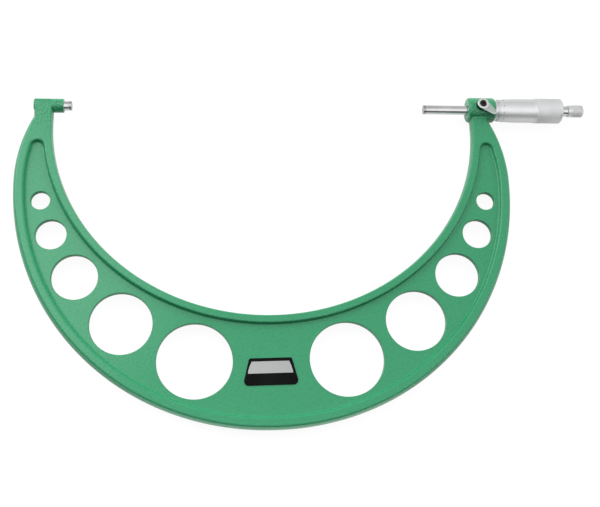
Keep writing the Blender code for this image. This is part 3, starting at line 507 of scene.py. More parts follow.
def bow_outline(height):
    """The bow's closed outline at a height over its middle plane."""
    inset = rounding(OUTER_ROUND, abs(height))
    inner = inner_edge(rounding(0.7 * INNER_ROUND, abs(height)))
    outer = outer_edge(inset, -inset)
    outer[0] = (outer[0][0] - 0.6 * inset, -inset)
    outer[-1] = (outer[-1][0] + 0.6 * inset, -inset)
    return outer + [(inner[0][0], -inset)] + inner + [(inner[-1][0], -inset)]


def even(points, count):
    """A closed outline as evenly spaced points, starting where it is lowest."""
    start = min(range(len(points)), key=lambda k: (round(points[k][1], 3), points[k][0]))
    loop = [Vector(p) for p in points[start:] + points[:start]]
    loop.append(loop[0])
    lengths = [0.0]
    for here, there in zip(loop, loop[1:]):
        lengths.append(lengths[-1] + (there - here).length)
    made, k = [], 0
    for j in range(count):
        goal = lengths[-1] * j / count
        while lengths[k + 1] < goal:
            k += 1
        span = lengths[k + 1] - lengths[k]
        share = (goal - lengths[k]) / span if span else 0.0
        made.append(tuple(loop[k].lerp(loop[k + 1], share)))
    return made


def pocket_outline(widening, count=720):
    """The pocket between the rims, with a round end in each arm."""
    outer = [place for place in outer_edge(OUTER_RIM + SLOPE - widening, -POCKET_TOP)
             if place[1] < -POCKET_TOP]
    start = math.asin((POCKET_TOP - INNER_DROP) / INNER_HALF_HEIGHT)
    inner = inner_edge(INNER_RIM + SLOPE - widening, start)
    points = list(outer)
    for end, other in ((outer[-1], inner[0]), (inner[-1], outer[0])):
        middle = (Vector(end) + Vector(other)) / 2.0
        spoke = Vector(end) - middle
        points += [tuple(middle + Matrix.Rotation(math.pi * k / 24, 2) @ spoke)
                   for k in range(1, 24)]
        if end == outer[-1]:
            points += inner
    return even(points, count)


def wall_profile():
    """The pocket wall as (widening, height): fillet, slope and rounded top edge."""
    foot = [Vector((-0.8, WEB)), Vector((0.2, WEB)), Vector((0.5, 2.8))]
    crest = [Vector((0.8, 3.9)), Vector((1.05, HALF)), Vector((2.5, HALF))]
    points = []
    for a, b, c in (foot, crest):
        for k in range(6):
            t = k / 5
            points.append(a * (1 - t) ** 2 + b * 2 * t * (1 - t) + c * t ** 2)
    return [(p.x, p.y) for p in points] + [(2.5, HALF + 2.5)]


def frame_casting():
    """The bow with rounded edges, pockets with filleted walls, holes, bosses and bores."""
    bm = bmesh.new()
    heights = [0.6, 1.6, 2.6, 3.5, 4.1, 4.5, 4.75, 4.9, HALF]
    heights = [-height for height in reversed(heights)] + [0.0] + heights
    loft(bm, [(height, bow_outline(height)) for height in heights])
    to_centre(bm)
    casting = finish_mesh("cast_frame", bm, LOOKS["paint"], 40.0)
    for tool in (anvil_boss(), anvil_block(), head_boss(), head_fillets()):
        boolean(casting, tool, "UNION")
    for side in (1.0, -1.0):
        bm = bmesh.new()
        loft(bm, [(side * z, pocket_outline(w)) for w, z in wall_profile()])
        to_centre(bm)
        boolean(casting, finish_mesh("pocket", bm, None), "DIFFERENCE")
    boolean(casting, hole_tool(), "DIFFERENCE")
    for tool in bore_tools():
        boolean(casting, tool, "DIFFERENCE")
    mesh = casting.data
    keep_first_look(mesh)
    for face in mesh.polygons:
        face.material_index = 0
    shade(mesh, 38.0)
    step = casting.modifiers.new("even_normals", "WEIGHTED_NORMAL")
    step.keep_sharp = True
    return casting


def anvil_boss():
    """The round boss that holds the anvil."""
    start, end = ANVIL_BOSS_X
    r = ANVIL_BOSS_RADIUS
    profile = [(start, 0.0), (start, r), (end, r), (end, 0.0)]
    return turned("boss_a", profile, None, 0.7, 64)


def anvil_block():
    """The squared end of the left arm, which runs into the round boss."""
    bm = bmesh.new()
    start, end = ANVIL_BOSS_X[0], ANVIL_BLOCK_END
    r = ANVIL_BOSS_RADIUS
    sides = 40
    rings = []
    for x, squareness, scale in ((start, 1.0, 0.84), (start + 0.5, 1.0, 0.94),
                                 (start + 1.6, 1.0, 1.0), (end, 1.0, 1.0),
                                 (end + 1.5, 0.82, 1.0), (end + 3.0, 0.4, 1.0),
                                 (end + 4.6, 0.0, 1.0)):
        ring = []
        for k in range(sides):
            angle = 2.0 * math.pi * (k + 0.5) / sides
            c, s = math.cos(angle), math.sin(angle)
            top = 3.1 if c > 0.0 else r
            square = min(top / abs(c), r / abs(s))
            corner = min(square, r * 1.12)
            reach = (r * 0.985 * (1.0 - squareness) + corner * squareness) * scale
            ring.append(bm.verts.new((x, c * reach, s * reach)))
        rings.append(ring)
    skin(bm, rings)
    return finish_mesh("boss_b", bm, None)


def head_boss():
    """The round boss that holds the sleeve and the lock."""
    r = BOSS_RADIUS
    profile = [(BOSS_FACE, 0.0), (BOSS_FACE, r), (BOSS_REAR, r), (BOSS_REAR, 0.0)]
    return turned("boss_c", profile, None, 2.0, 96)


def head_fillets():
    """The casting's fillets between the head boss and the arm's two faces."""
    fillet, r = 1.3, BOSS_RADIUS
    middle = (-math.sqrt((r + fillet) ** 2 - (HALF + fillet) ** 2), HALF + fillet)
    start = -math.pi / 2.0
    end = math.atan2(-middle[1], -middle[0])
    curve = [(middle[0] + fillet * math.cos(start + (end - start) * k / 8),
              middle[1] + fillet * math.sin(start + (end - start) * k / 8)) for k in range(9)]
    outline = [(curve[0][0], HALF - 1.2)] + curve + [(curve[-1][0] + 1.0, HALF - 1.2)]
    bm = bmesh.new()
    left, right = CENTRE_X + INNER_HALF_WIDTH + 0.6, CENTRE_X + ARM_SPAN - 0.6
    for side in (1.0, -1.0):
        skin(bm, [[bm.verts.new((x, y, side * z)) for y, z in outline] for x in (left, right)])
    return finish_mesh("boss_d", bm, None)


def hole_tool():
    """The ten lightening holes, each with a softly broken edge."""
    bm = bmesh.new()
    soft = 0.5
    for angle, gap, radius in HOLES:
        sides = 128 if radius > 12.0 else 72
        rounds = [(WEB - soft + soft * math.sin(t), radius + soft * (1.0 - math.cos(t)))
                  for t in (math.pi / 2.0 * k / 4 for k in range(5))]
        layers = [(-7.0, radius + soft)] + [(-z, r) for z, r in reversed(rounds)]
        layers += rounds + [(7.0, radius + soft)]
        for side in (-1.0, 1.0):
            x, y = inner_place(side * math.radians(angle), gap + radius)
            rings = []
            for z, r in layers:
                rings.append((z, [(x + r * math.cos(2 * math.pi * k / sides),
                                   y + r * math.sin(2 * math.pi * k / sides))
                                  for k in range(sides)]))
            loft(bm, rings)
    to_centre(bm)
    return finish_mesh("holes", bm, None)


def bore_tools():
    """The anvil's bore, the head's stepped bore and the lock's hole with its flat."""
    anvil = [(-19.75, 0.0), (-19.75, 3.35), (0.0, 3.35), (0.0, 0.0)]
    yield turned("bore_a", anvil, None, 0.0, 64)
    head = [(BOSS_FACE - 2.0, 0.0), (BOSS_FACE - 2.0, 3.5), (284.05, 3.5), (284.05, SLEEVE_BORE),
            (BOSS_REAR + 2.0, SLEEVE_BORE), (BOSS_REAR + 2.0, 0.0)]
    yield turned("bore_b", head, None, 0.0, 64)
    lock = [(0.0, 0.0), (0.0, 2.6), (SPOT_Z, 2.6), (SPOT_Z, 4.35), (10.0, 4.35), (10.0, 0.0)]
    yield turned("bore_c", lock, None, 0.0, 48, LOCK_X)


place_piece(frame_casting(), "frame", "green_paint", "frame")


# ---------------------------------------------------------------- anvil and spindle
def rods():
    """The anvil, the spindle and their hard tips, with ground faces and broken edges."""
    r = ROD_RADIUS
    front = -TIP_LENGTH - SEAT
    profile = [(ANVIL_BACK, 0.0), (ANVIL_BACK, r), (front, r), (front, 0.0)]
    rod = turned("anvil_rod", profile, LOOKS["ground"], 0.12)
    place_piece(rod, "frame", "ground_steel", "anvil")
    profile = [(-TIP_LENGTH, 0.0), (-TIP_LENGTH, r), (0.0, r), (0.0, 0.0)]
    tip = turned("anvil_hard_tip", profile, LOOKS["carbide"], 0.1)
    place_piece(tip, "frame", "carbide", "anvil_tip")
    back = GAP + TIP_LENGTH
    tip = turned("spindle_hard_tip", [(GAP, 0.0), (GAP, r), (back, r), (back, 0.0)],
                 LOOKS["carbide"], 0.1)
    place_piece(tip, "spindle_tip", "carbide", "spindle_tip")
    x, end = 297.35, THIMBLE_END
    profile = [(back + SEAT, 0.0), (back + SEAT, r), (x - 0.6, r), (x, THREAD_RADIUS)]
    while x < end - 16.25:
        profile += [(x + 0.18, 3.24), (x + 0.32, 3.24), (x + 0.46, THREAD_RADIUS),
                    (x + THREAD_PITCH, THREAD_RADIUS)]
        x += THREAD_PITCH
    profile += [(end - 15.9, THREAD_RADIUS), (end - 15.3, 2.85), (end - 13.4, 2.85),
                (end - 13.3, 3.25), (end - 6.9, 2.8), (end - 6.9, 1.6), (end - 14.3, 1.6),
                (end - 14.3, 0.0)]
    rod = turned("spindle_rod", profile, LOOKS["ground"], 0.05, 64)
    place_piece(rod, "thimble", "ground_steel", "spindle")


rods()


# ---------------------------------------------------------------- sleeve and thimble
def engraved(name, strips, radius_at, body):
    """Thin inlays of ink wrapped round the axis.

    Each strip is an outline of (along, around) points in millimetres; around is an arc length
    from +Z, towards +Y.
    """
    bm = bmesh.new()
    for outline in strips:
        rings = []
        for level in (INK_FOOT, INK_TOP):
            ring = []
            for along, around in outline:
                radius = radius_at(along)
                angle, r = around / radius, radius + level
                ring.append(bm.verts.new((along, r * math.sin(angle), r * math.cos(angle))))
            rings.append(ring)
        skin(bm, rings)
    place_piece(finish_mesh(name, bm, LOOKS["ink"], 20.0), body, "satin_chrome")


def dash(x0, x1, around, width):
    """A line along the axis."""
    half = width / 2.0
    return [(x0, around - half), (x1, around - half), (x1, around + half), (x0, around + half)]


def tick(x, start, end, width):
    """A line round the axis."""
    half = width / 2.0
    steps = max(2, int(abs(end - start) / 0.5) + 1)
    low = [(x - half, start + (end - start) * k / steps) for k in range(steps + 1)]
    high = [(x + half, y) for _, y in reversed(low)]
    return low + high


def digits(text, size, along, around, turn, radius_at):
    """One numeral as a thin solid wrapped round the axis, in a bmesh in millimetres."""
    curve = bpy.data.curves.new("numeral", "FONT")
    curve.body = text
    curve.size = size
    curve.align_x = "CENTER"
    curve.align_y = "CENTER"
    curve.extrude = 0.02
    curve.resolution_u = 3
    holder = bpy.data.objects.new("numeral", curve)
    bpy.context.scene.collection.objects.link(holder)
    bpy.context.view_layer.update()
    graph = bpy.context.evaluated_depsgraph_get()
    mesh = bpy.data.meshes.new_from_object(holder.evaluated_get(graph))
    bpy.data.objects.remove(holder)
    bm = bmesh.new()
    bm.from_mesh(mesh)
    bpy.data.meshes.remove(mesh)
    bmesh.ops.remove_doubles(bm, verts=bm.verts, dist=0.0005)
    cos, sin = math.cos(turn), math.sin(turn)
    for vert in bm.verts:
        x, y, z = vert.co
        a, b = along + x * cos - y * sin, around + x * sin + y * cos
        radius = radius_at(a)
        angle = b / radius
        r = radius - 0.012 + z
        vert.co = (a, r * math.sin(angle), r * math.cos(angle))
    return bm


def merge(target, source):
    """Add one bmesh to another."""
    mesh = bpy.data.meshes.new("part")
    source.to_mesh(mesh)
    source.free()
    target.from_mesh(mesh)
    bpy.data.meshes.remove(mesh)


def sleeve_radius(_):
    """Outer radius of the sleeve, the same at every place along it."""
    return SLEEVE_RADIUS


def sleeve():
    """The graduated sleeve: datum line, millimetre and half-millimetre marks, numerals."""
    profile = [(SLEEVE_X, SLEEVE_BORE), (SLEEVE_X, SLEEVE_RADIUS), (SLEEVE_END, SLEEVE_RADIUS),
               (SLEEVE_END, SLEEVE_BORE)]
    tube = turned("scale_sleeve", profile, LOOKS["satin"], 0.2)
    profile = [(-8.0, 0.0), (-8.0, 0.7), (-5.0, 0.7), (-5.0, 0.0)]
    hole = turned("spanner_hole", profile, None, 0.0, 24, SLEEVE_X + 1.1)
    boolean(tube, hole, "DIFFERENCE")
    place_piece(tube, "frame", "satin_chrome", "graduated_sleeve")
    width = 0.13
    strips = [dash(SLEEVE_X + 0.5, THIMBLE_X + 25.6, 0.0, width)]
    for k in range(RANGE + 1):
        x = FIRST_MARK_X + k
        strips.append(tick(x, 0.07, 2.1 if k % 5 == 0 else 1.4, width))
        if k < RANGE:
            strips.append(tick(x + 0.5, -1.2, -0.07, width))
    engraved("sleeve_scale", strips, sleeve_radius, "frame")
    bm = bmesh.new()
    for k in range(0, RANGE + 1, 5):
        merge(bm, digits(str(k), 1.9, FIRST_MARK_X + k, 3.2, math.pi / 2.0, sleeve_radius))
    made = finish_mesh("sleeve_numerals", bm, LOOKS["ink"], 20.0)
    place_piece(made, "frame", "satin_chrome")


def bevel_radius(x):
    """Outer radius of the thimble's bevelled scale edge at a place along the axis."""
    return 7.85 + 0.45 * (x - THIMBLE_X) / 6.5


def thimble():
    """The thimble: bevelled scale edge, smooth body, knurled grip and fifty divisions."""
    x0, x1 = THIMBLE_X, THIMBLE_END
    profile = [(x0, 7.4), (x0, 7.85), (x0 + 6.5, 8.3), (x0 + 12.0, 8.6), (x0 + 26.6, 8.6),
               (x0 + 28.2, 9.0), (x0 + 28.9, 9.0), (x0 + 29.1, 8.7), (x1 - 1.7, 8.7),
               (x1 - 1.5, 9.0), (x1 - 0.9, 9.0), (x1, 8.1), (x1, 6.4), (x1 - 13.2, 6.4),
               (x1 - 13.2, 7.4)]
    body = turned("thimble_body", profile, LOOKS["satin"], 0.18, 128, None, 30.0)
    place_piece(body, "thimble", "satin_chrome", "thimble")
    bm = bmesh.new()
    knurl(bm, x0 + 28.95, x1 - 1.55, 8.72, 0.28, 62, 0.9)
    grip = finish_mesh("thimble_knurl", bm, LOOKS["grip"], 60.0)
    place_piece(grip, "thimble", "satin_chrome")
    divisions = 50
    strips = []
    for k in range(divisions):
        around = 2.0 * math.pi * k / divisions * 7.9
        end = 2.3 if k % 5 == 0 else 1.5
        strips.append(dash(x0 + 0.12, x0 + end, around, 0.12))
    engraved("thimble_scale", strips, bevel_radius, "thimble")
    bm = bmesh.new()
    for k in range(0, divisions, 5):
        around = 2.0 * math.pi * k / divisions * 8.1
        merge(bm, digits(str(k), 1.8, x0 + 3.9, -around, 0.0, bevel_radius))
    made = finish_mesh("thimble_numerals", bm, LOOKS["ink"], 20.0)
    place_piece(made, "thimble", "satin_chrome")


def knurl(bm, x0, x1, base, height, count, pitch):
    """A diamond knurl: two crossed sets of fine grooves on a closed cylinder skin.

    count is how many diamonds go round, and pitch is the length of one along the axis.
    """
    around = count * 4
    along = int(round((x1 - x0) / (pitch / 4.0)))
    rings = []
    for j in range(along + 1):
        x = x0 + (x1 - x0) * j / along
        fade = min(1.0, min(x - x0, x1 - x) / (pitch * 0.35))
        ring = []
        for k in range(around):
            angle = 2.0 * math.pi * k / around
            u = k / 4.0
            v = (x - x0) / pitch
            one = abs(((u + v) % 1.0) - 0.5) * 2.0
            two = abs(((u - v) % 1.0) - 0.5) * 2.0
            rise = height * (1.0 - max(one, two)) * 1.6
            r = base + min(height, rise) * fade
            ring.append(bm.verts.new((x, r * math.cos(angle), r * math.sin(angle))))
        rings.append(ring)
    inner = base - 0.25
    turns = [2.0 * math.pi * k / around for k in range(around)]
    for x in (x1, x0):
        rings.append([bm.verts.new((x, inner * math.cos(angle), inner * math.sin(angle)))
                      for angle in turns])
    skin(bm, rings + rings[:1], closed_ends=False)


sleeve()
thimble()


# ---------------------------------------------------------------- ratchet stop
def ratchet():
    """The neck, the knurled knob and the slotted screw in its end."""
    neck, foot, end = NECK_X, KNOB_X, KNOB_END
    profile = [(neck - 13.85, 0.0), (neck - 13.85, STEM_RADIUS), (neck - 4.05, STEM_RADIUS),
               (neck - 4.05, 6.3), (neck, 6.3), (neck, NECK_RADIUS), (foot - 0.06, NECK_RADIUS),
               (foot - 0.06, STEM_RADIUS), (end - 1.55, STEM_RADIUS), (end - 1.55, 0.9),
               (end - 6.55, 0.9), (end - 6.55, 0.0)]
    stem = turned("ratchet_neck", profile, LOOKS["ground"], 0.25, 72)
    place_piece(stem, "thimble", "satin_chrome", "ratchet_body")
    profile = [(foot, 3.65), (foot, 4.3), (foot + 2.9, 4.3), (foot + 3.1, 3.85), (end - 0.7, 3.85),
               (end - 0.6, 4.3), (end - 0.1, 4.05), (end, 3.9), (end, 2.5), (end - 1.55, 2.5),
               (end - 1.55, 1.6), (end - 4.15, 1.6), (end - 4.15, 3.65)]
    knob = turned("ratchet_cup", profile, LOOKS["satin"], 0.12, 96)
    place_piece(knob, "ratchet_knob", "satin_chrome", "ratchet_knob")
    bm = bmesh.new()
    knurl(bm, foot + 3.0, end - 0.45, 4.05, 0.4, 20, 1.35)
    grip = finish_mesh("ratchet_knurl", bm, LOOKS["knob"], 30.0)
    place_piece(grip, "ratchet_knob", "satin_chrome")
    profile = [(end - 6.45, 0.0), (end - 6.45, 0.8), (end - 1.45, 0.8), (end - 1.45, 2.4),
               (end - 0.25, 2.4), (end - 0.25, 0.0)]
    screw = turned("end_screw", profile, LOOKS["satin"], 0.15, 48)
    bm = bmesh.new()
    cut = bmesh.ops.create_cube(bm, size=1.0)["verts"]
    bmesh.ops.scale(bm, vec=(1.4, 7.0, 0.7), verts=cut)
    bmesh.ops.translate(bm, vec=(end - 0.25, 0.0, 0.0), verts=cut)
    boolean(screw, finish_mesh("slot", bm, None), "DIFFERENCE")
    place_piece(screw, "thimble", "satin_chrome", "ratchet_screw")


def spring():
    """The click ring's coil spring with closed ends, in a mesh of its own; nothing here shortens it
    as the ring lifts.
    """
    low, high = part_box("ratchet_spring")
    wire = 0.25
    start, end = low[0] / MM + wire, high[0] / MM - wire
    radius = high[2] / MM - wire
    turns, turn_steps, sides = 5.5, 36, 12
    count = int(turns * turn_steps)
    closed = 0.75 / turns
    bm = bmesh.new()
    rings = []
    for k in range(count + 1):
        share = k / count
        rise = min(1.0, max(0.0, (share - closed) / (1.0 - 2.0 * closed)))
        ends = 2.1 * wire * (min(share, closed) + max(0.0, share - 1.0 + closed)) * turns
        along = start + ends + (end - start - 4.2 * wire * closed * turns) * rise
        angle = 2.0 * math.pi * k / turn_steps
        outward = Vector((0.0, math.cos(angle), math.sin(angle)))
        centre = Vector((along, 0.0, 0.0)) + outward * radius
        ring = []
        for j in range(sides):
            spin = 2.0 * math.pi * j / sides
            offset = outward * math.cos(spin) + Vector((math.sin(spin), 0.0, 0.0))
            ring.append(bm.verts.new(centre + offset * wire))
        rings.append(ring)
    skin(bm, rings)
    coil = finish_mesh("click_spring", bm, LOOKS["turned"], 50.0)
    place_piece(coil, "ratchet_knob", "ground_steel", "ratchet_spring")
    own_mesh(coil)


ratchet()
spring()


# ---------------------------------------------------------------- spindle lock
def lock():
    """The lock's lever with its rounded edges, stud, shoe and black socket screw."""
    r = STUD_RADIUS
    shoe = turned("lock_shoe_brass", [(3.37, 0.0), (3.37, r), (5.17, r), (5.17, 0.0)],
                  LOOKS["brass"], 0.15, 48, LOCK_X)
    place_piece(shoe, "lock_shoe", "brass", "lock_shoe")
    profile = [(5.27, 0.0), (5.27, r)]
    z = 5.3
    while z < 7.6:
        profile += [(z + 0.25, 2.25), (z + 0.5, r)]
        z += 0.5
    profile += [(8.1, r), (8.1, 1.9), (9.9, 1.9), (9.9, 1.05), (6.9, 1.05), (6.9, 0.0)]
    stud = turned("lock_stud_thread", profile, LOOKS["turned"], 0.05, 48, LOCK_X)
    place_piece(stud, "lock_lever", "ground_steel", "lock_stud")
    place_piece(lever(), "lock_lever", "bright_chrome", "lock_lever")
    profile = [(6.9, 0.0), (6.9, 0.95), (10.1, 0.95), (10.1, 2.35), (11.6, 2.35), (11.6, 0.0)]
    screw = turned("lock_cap_screw", profile, LOOKS["black"], 0.2, 48, LOCK_X)
    bm = bmesh.new()
    socket = [(LOCK_X + 1.45 * math.cos(math.pi * k / 3), 1.45 * math.sin(math.pi * k / 3))
              for k in range(6)]
    loft(bm, [(10.6, socket), (12.6, socket)])
    boolean(screw, finish_mesh("hexagon", bm, None), "DIFFERENCE")
    place_piece(screw, "lock_lever", "black_oxide", "lock_screw")


def lever():
    """A round hub with a tapering arm, both with rounded edges, and a counterbored hole."""
    profile = [(8.2, 0.0), (8.2, LEVER_HUB_RADIUS), (11.9, LEVER_HUB_RADIUS), (11.9, 0.0)]
    hub = turned("lever_with_hub", profile, LOOKS["chrome"], 0.5, 96, LOCK_X)
    reach = LEVER_LENGTH - LEVER_TIP_RADIUS
    lean = math.asin((LEVER_HUB_RADIUS - LEVER_TIP_RADIUS) / reach)
    quarter = math.pi / 2.0 - lean
    outline = []
    for centre, radius, start, end, steps in (
            (0.0, 4.0, quarter, 2.0 * math.pi - quarter, 40),
            (reach, LEVER_TIP_RADIUS, -quarter, quarter, 20)):
        for k in range(steps + 1):
            outline.append((centre, radius, start + (end - start) * k / steps))
    bm = bmesh.new()
    turn = Matrix.Rotation(math.radians(-40.0), 2)
    layers = []
    soft, foot, top = 0.6, LEVER_FOOT, LEVER_TOP
    for z, inset in ((foot, soft), (foot + 0.25, 0.2), (foot + soft, 0.0), (top - soft, 0.0),
                     (top - 0.25, 0.2), (top - 0.06, 0.4), (top, soft)):
        ring = []
        for centre, radius, angle in outline:
            r = radius - inset
            spot = turn @ Vector((centre + r * math.cos(angle), r * math.sin(angle)))
            ring.append((spot.x + LOCK_X, spot.y))
        layers.append((z, ring))
    loft(bm, layers)
    boolean(hub, finish_mesh("arm", bm, None), "UNION")
    bore = [(7.0, 0.0), (7.0, 2.0), (10.0, 2.0), (10.0, 2.45), (11.6, 2.45), (11.95, 2.75),
            (13.0, 2.75), (13.0, 0.0)]
    boolean(hub, turned("bore", bore, None, 0.0, 48, LOCK_X), "DIFFERENCE")
    mesh = hub.data
    keep_first_look(mesh)
    mesh.materials.append(LOOKS["arm"])
    mesh.materials.append(LOOKS["flank"])
    # The arm's top gets the darker chrome and the lever's sides the dark green: painted shade and
    # painted reflection on one chrome part.
    for face in mesh.polygons:
        across = math.hypot(face.center.x - LOCK_X * MM, face.center.y)
        on_top = across > 4.2 * MM and face.normal.z > 0.9
        on_side = across > 3.5 * MM and face.normal.z < 0.35
        face.material_index = 1 if on_top else 2 if on_side else 0
    shade(mesh, 35.0)
    return hub


lock()


# ---------------------------------------------------------------- nameplate
def plate_outline(inset):
    """The nameplate's trapezium with rounded corners, about its middle."""
    top = PLATE_HEIGHT / 2.0 - inset
    lean = (PLATE_LOW_HALF - PLATE_TOP_HALF) / PLATE_HEIGHT
    side = inset / math.cos(math.atan2(PLATE_LOW_HALF - PLATE_TOP_HALF, PLATE_HEIGHT))
    x_top = PLATE_TOP_HALF + lean * (PLATE_HEIGHT / 2.0 - top) - side
    x_low = PLATE_LOW_HALF - lean * (PLATE_HEIGHT / 2.0 - top) - side
    corners = [(-x_top, top), (-x_low, -top), (x_low, -top), (x_top, top)]
    steps = 8
    points = []
    for k, radius in enumerate((1.2, 3.0, 3.0, 1.2)):
        radius = max(0.3, radius - inset)
        corner = Vector(corners[k])
        one = (Vector(corners[k - 1]) - corner).normalized()
        two = (Vector(corners[(k + 1) % 4]) - corner).normalized()
        half = one.angle(two) / 2.0
        centre = corner + (one + two).normalized() * radius / math.sin(half)
        first = corner + one * radius / math.tan(half) - centre
        last = corner + two * radius / math.tan(half) - centre
        sweep = first.angle_signed(last)
        points += [tuple(centre + Matrix.Rotation(-sweep * j / steps, 2) @ first)
                   for j in range(steps + 1)]
    return points


def plate_place(bm):
    """Turn the plate slightly and move it to its place on the web."""
    turn = Matrix.Rotation(math.radians(0.8), 4, "Z")
    bmesh.ops.transform(bm, matrix=turn, verts=bm.verts)
    bmesh.ops.translate(bm, vec=(*PLATE_MIDDLE, 0.0), verts=bm.verts)


def nameplate():
    """A blank plate: black border, a plain silver field above and a plain black one below."""
    bm = bmesh.new()
    loft(bm, [(z, plate_outline(inset))
              for z, inset in ((2.1, 0.0), (2.42, 0.0), (2.52, 0.12), (2.55, 0.3))])
    plate_place(bm)
    base = finish_mesh("plate_ground", bm, LOOKS["plate_black"], 30.0)
    place_piece(base, "frame", "printed_plate", "nameplate")
    bm = bmesh.new()
    field = [(-12.4, 6.7), (-13.9, 3.5), (-14.9, 0.2), (-15.0, -1.15), (14.5, -1.15), (14.4, 0.2),
             (13.5, 3.5), (12.2, 6.7)]
    loft(bm, [(2.5, field), (2.6, field)])
    plate_place(bm)
    silver = finish_mesh("plate_field", bm, LOOKS["plate_silver"], 30.0)
    place_piece(silver, "frame", "printed_plate")


nameplate()


# ---------------------------------------------------------------- inner solids that stay
for node in ("inner_sleeve", "adjusting_nut", "thimble_connector", "click_ring"):
    mesh = frame["nodes"][node].data
    mesh.materials.clear()
    mesh.materials.append(LOOKS["turned"])


# ---------------------------------------------------------------- stage, light and camera
# Brightness of the room round the axis X: degrees from straight up towards +Y, and the level.
SKY = ((-180.0, 0.85), (-150.0, 0.82), (-126.0, 0.55), (-107.0, 0.38), (-95.0, 0.19),
       (-87.0, 0.14), (-57.0, 0.14), (-50.0, 0.7), (-41.0, 1.22), (-22.0, 1.38), (-8.0, 1.24),
       (6.0, 0.88), (20.0, 0.71), (60.0, 0.63), (100.0, 0.68), (180.0, 0.85))
# The same for the light that falls on matt surfaces. It counts double.
SOFT_SKY = ((-180.0, 0.3), (-90.0, 0.03), (-40.0, 0.05), (-15.0, 0.3), (10.0, 1.0), (40.0, 1.46),
            (90.0, 1.5), (180.0, 0.6))
# Share of the room's light from -X to +X, in reflections and on matt surfaces.
SIDE = ((0.0, 0.55), (0.2, 0.6), (0.36, 1.0))
SOFT_SIDE = ((0.0, 0.5), (0.5, 0.5), (1.0, 1.0))
# How bright the floor glows in reflections, by its place along Y in metres: dimmer under the bow, a
# painted shadow of the object.
FLOOR_GLOW_PAINTED_SHADOW = ((-0.26, 0.9), (-0.226, 0.85), (-0.205, 0.32), (-0.07, 0.25), (-0.035, 0.45),
                (0.0, 0.5), (0.1, 0.55))
PAINTED_SHADOW_START, PAINTED_SHADOW_LENGTH = -0.4, 0.5


def grey(level):
    return (level, level, level)


def matt(tree, colour):
    made = add(tree, "ShaderNodeBsdfDiffuse")
    made.inputs["Color"].default_value = (*colour, 1.0)
    return made.outputs[0]


def glow(tree, strength):
    """A white emission whose strength is a number or a socket."""
    made = add(tree, "ShaderNodeEmission")
    if isinstance(strength, bpy.types.NodeSocket):
        tree.links.new(strength, made.inputs["Strength"])
    else:
        made.inputs["Strength"].default_value = strength
    return made.outputs[0]


def join(tree, first, second, share=None):
    """Add two shaders, or mix them by a share of the second."""
    made = add(tree, "ShaderNodeAddShader" if share is None else "ShaderNodeMixShader")
    sockets = (first, second) if share is None else (share, first, second)
    for k, socket in enumerate(sockets):
        tree.links.new(socket, made.inputs[k])
    return made.outputs[0]


def floor():
    """A plain white floor, which keeps the object's shadow.

    It is white to the camera; in reflections its glow dims under the bow, a painted shadow of
    the object. Past the bow's lowest edge it also lights matt surfaces.
    """
    made = bpy.data.materials.new("white_floor")
    made.use_nodes = True
    tree = made.node_tree
    tree.nodes.clear()
    path = add(tree, "ShaderNodeLightPath").outputs
    mirrored = any_of(tree, path["Is Glossy Ray"], path["Is Transmission Ray"])
    place = add(tree, "ShaderNodeSeparateXYZ")
    tree.links.new(add(tree, "ShaderNodeTexCoord").outputs["Object"], place.inputs[0])
    front = spread(tree, place.outputs["Y"], 0.9, 0.0, -0.234, -0.222)
    plain = join(tree, matt(tree, grey(0.8)), glow(tree, front))
    # The glow seen in reflections dims under the bow: a painted shadow of the object.
    along = spread(tree, place.outputs["Y"], 0.0, 1.0, PAINTED_SHADOW_START, PAINTED_SHADOW_START + PAINTED_SHADOW_LENGTH)
    painted_shadow_glow = ramp(tree, along, [((y - PAINTED_SHADOW_START) / PAINTED_SHADOW_LENGTH, grey(level))
                                for y, level in FLOOR_GLOW_PAINTED_SHADOW])
    for share, level, strength in ((mirrored, 0.4, painted_shadow_glow), (path["Is Camera Ray"], 0.12, 0.93)):
        shown = join(tree, matt(tree, (level, level * 0.99, level * 0.97)), glow(tree, strength))
        plain = join(tree, plain, shown, share)
    out = add(tree, "ShaderNodeOutputMaterial")
    tree.links.new(plain, out.inputs["Surface"])
    bm = bmesh.new()
    bmesh.ops.create_grid(bm, x_segments=1, y_segments=1, size=4000.0)
    bmesh.ops.translate(bm, vec=(CENTRE_X, -100.0, FLOOR_Z - 0.02), verts=bm.verts)
    plane = finish_mesh("floor", bm, made)


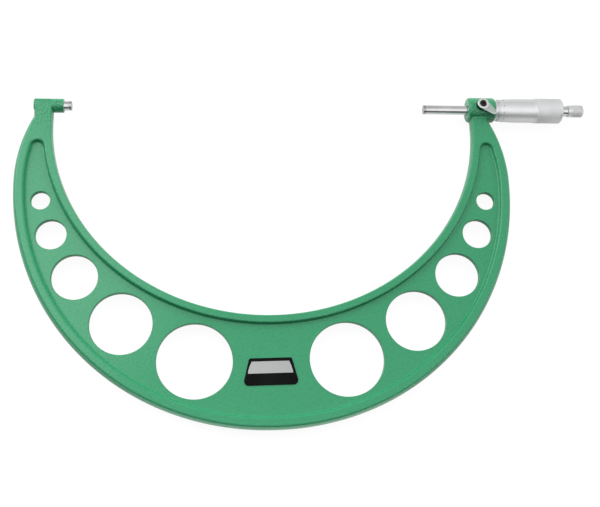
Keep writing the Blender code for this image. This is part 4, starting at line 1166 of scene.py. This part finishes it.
def world():
    """A bright studio: bands of light round the axis X, and plain white to the camera."""
    made = bpy.data.worlds.new("white_room")
    bpy.context.scene.world = made
    made.use_nodes = True
    tree = made.node_tree
    tree.nodes.clear()
    path = add(tree, "ShaderNodeLightPath").outputs
    seen = any_of(tree, path["Is Camera Ray"], path["Is Glossy Ray"], path["Is Transmission Ray"])
    parts = add(tree, "ShaderNodeSeparateXYZ")
    tree.links.new(add(tree, "ShaderNodeTexCoord").outputs["Generated"], parts.inputs[0])
    angle = add(tree, "ShaderNodeMath", operation="ARCTAN2")
    tree.links.new(parts.outputs["Y"], angle.inputs[0])
    tree.links.new(parts.outputs["Z"], angle.inputs[1])
    turn = spread(tree, angle.outputs[0], 0.0, 1.0, -math.pi, math.pi)
    across = spread(tree, parts.outputs["X"], 0.0, 1.0, -1.0, 1.0)
    bands = []
    # The ramps hold half the levels, because a ramp stops at 1.
    for levels, sides in ((SKY, SIDE), (SOFT_SKY, SOFT_SIDE)):
        band = ramp(tree, turn, [(0.5 + degrees / 360.0, grey(level / 2.0))
                                 for degrees, level in levels])
        side = ramp(tree, across, [(place, grey(level)) for place, level in sides])
        bands.append(blend_colour(tree, 1.0, band, side, "MULTIPLY"))
    sharp, soft = bands
    soft = blend_colour(tree, 1.0, soft, grey(2.0), "MULTIPLY")
    sky = blend_colour(tree, seen, soft, sharp)
    sky = blend_colour(tree, 1.0, sky, grey(2.0), "MULTIPLY")
    sky = blend_colour(tree, path["Is Camera Ray"], sky, grey(1.0))
    back = add(tree, "ShaderNodeBackground")
    tree.links.new(sky, back.inputs["Color"])
    back.inputs["Strength"].default_value = 1.0
    out = add(tree, "ShaderNodeOutputWorld")
    tree.links.new(back.outputs[0], out.inputs["Surface"])


def lamp(name, place, target, size, power):
    """A rectangular area lamp at a place, turned to a target, in metres and watts."""
    light = bpy.data.lights.new(name, "AREA")
    light.shape = "RECTANGLE"
    light.size, light.size_y = size
    light.energy = power
    made = bpy.data.objects.new(name, light)
    made.location = place
    made.rotation_euler = (Vector(target) - Vector(place)).to_track_quat("-Z", "Y").to_euler()
    bpy.context.scene.collection.objects.link(made)


floor()
world()
lamp("left", (-0.22, 0.18, 0.92), (-0.02, -0.12, 0.0), (0.3, 0.5), 0.85)
lamp("window", (-1.39, 0.94, 1.16), (0.13, -0.1, 0.0), (1.3, 1.3), 16.0)

SENSOR_WIDTH = 36.0
FOCAL_PIXELS = 922.727
FRAME_PIXELS = 600.0
camera = bpy.data.cameras.new("camera")
camera.sensor_width = SENSOR_WIDTH
camera.sensor_fit = "HORIZONTAL"
camera.lens = FOCAL_PIXELS / FRAME_PIXELS * SENSOR_WIDTH
camera.clip_start = 0.01
camera.clip_end = 20.0
eye = bpy.data.objects.new("camera", camera)
eye.location = (0.097102, -0.289333, 0.600190)
eye.rotation_euler = Euler([math.radians(a) for a in (16.851117, -5.157031, -1.789708)], "XYZ")
bpy.context.scene.collection.objects.link(eye)
bpy.context.scene.camera = eye
bpy.context.scene.view_settings.view_transform = "Standard"
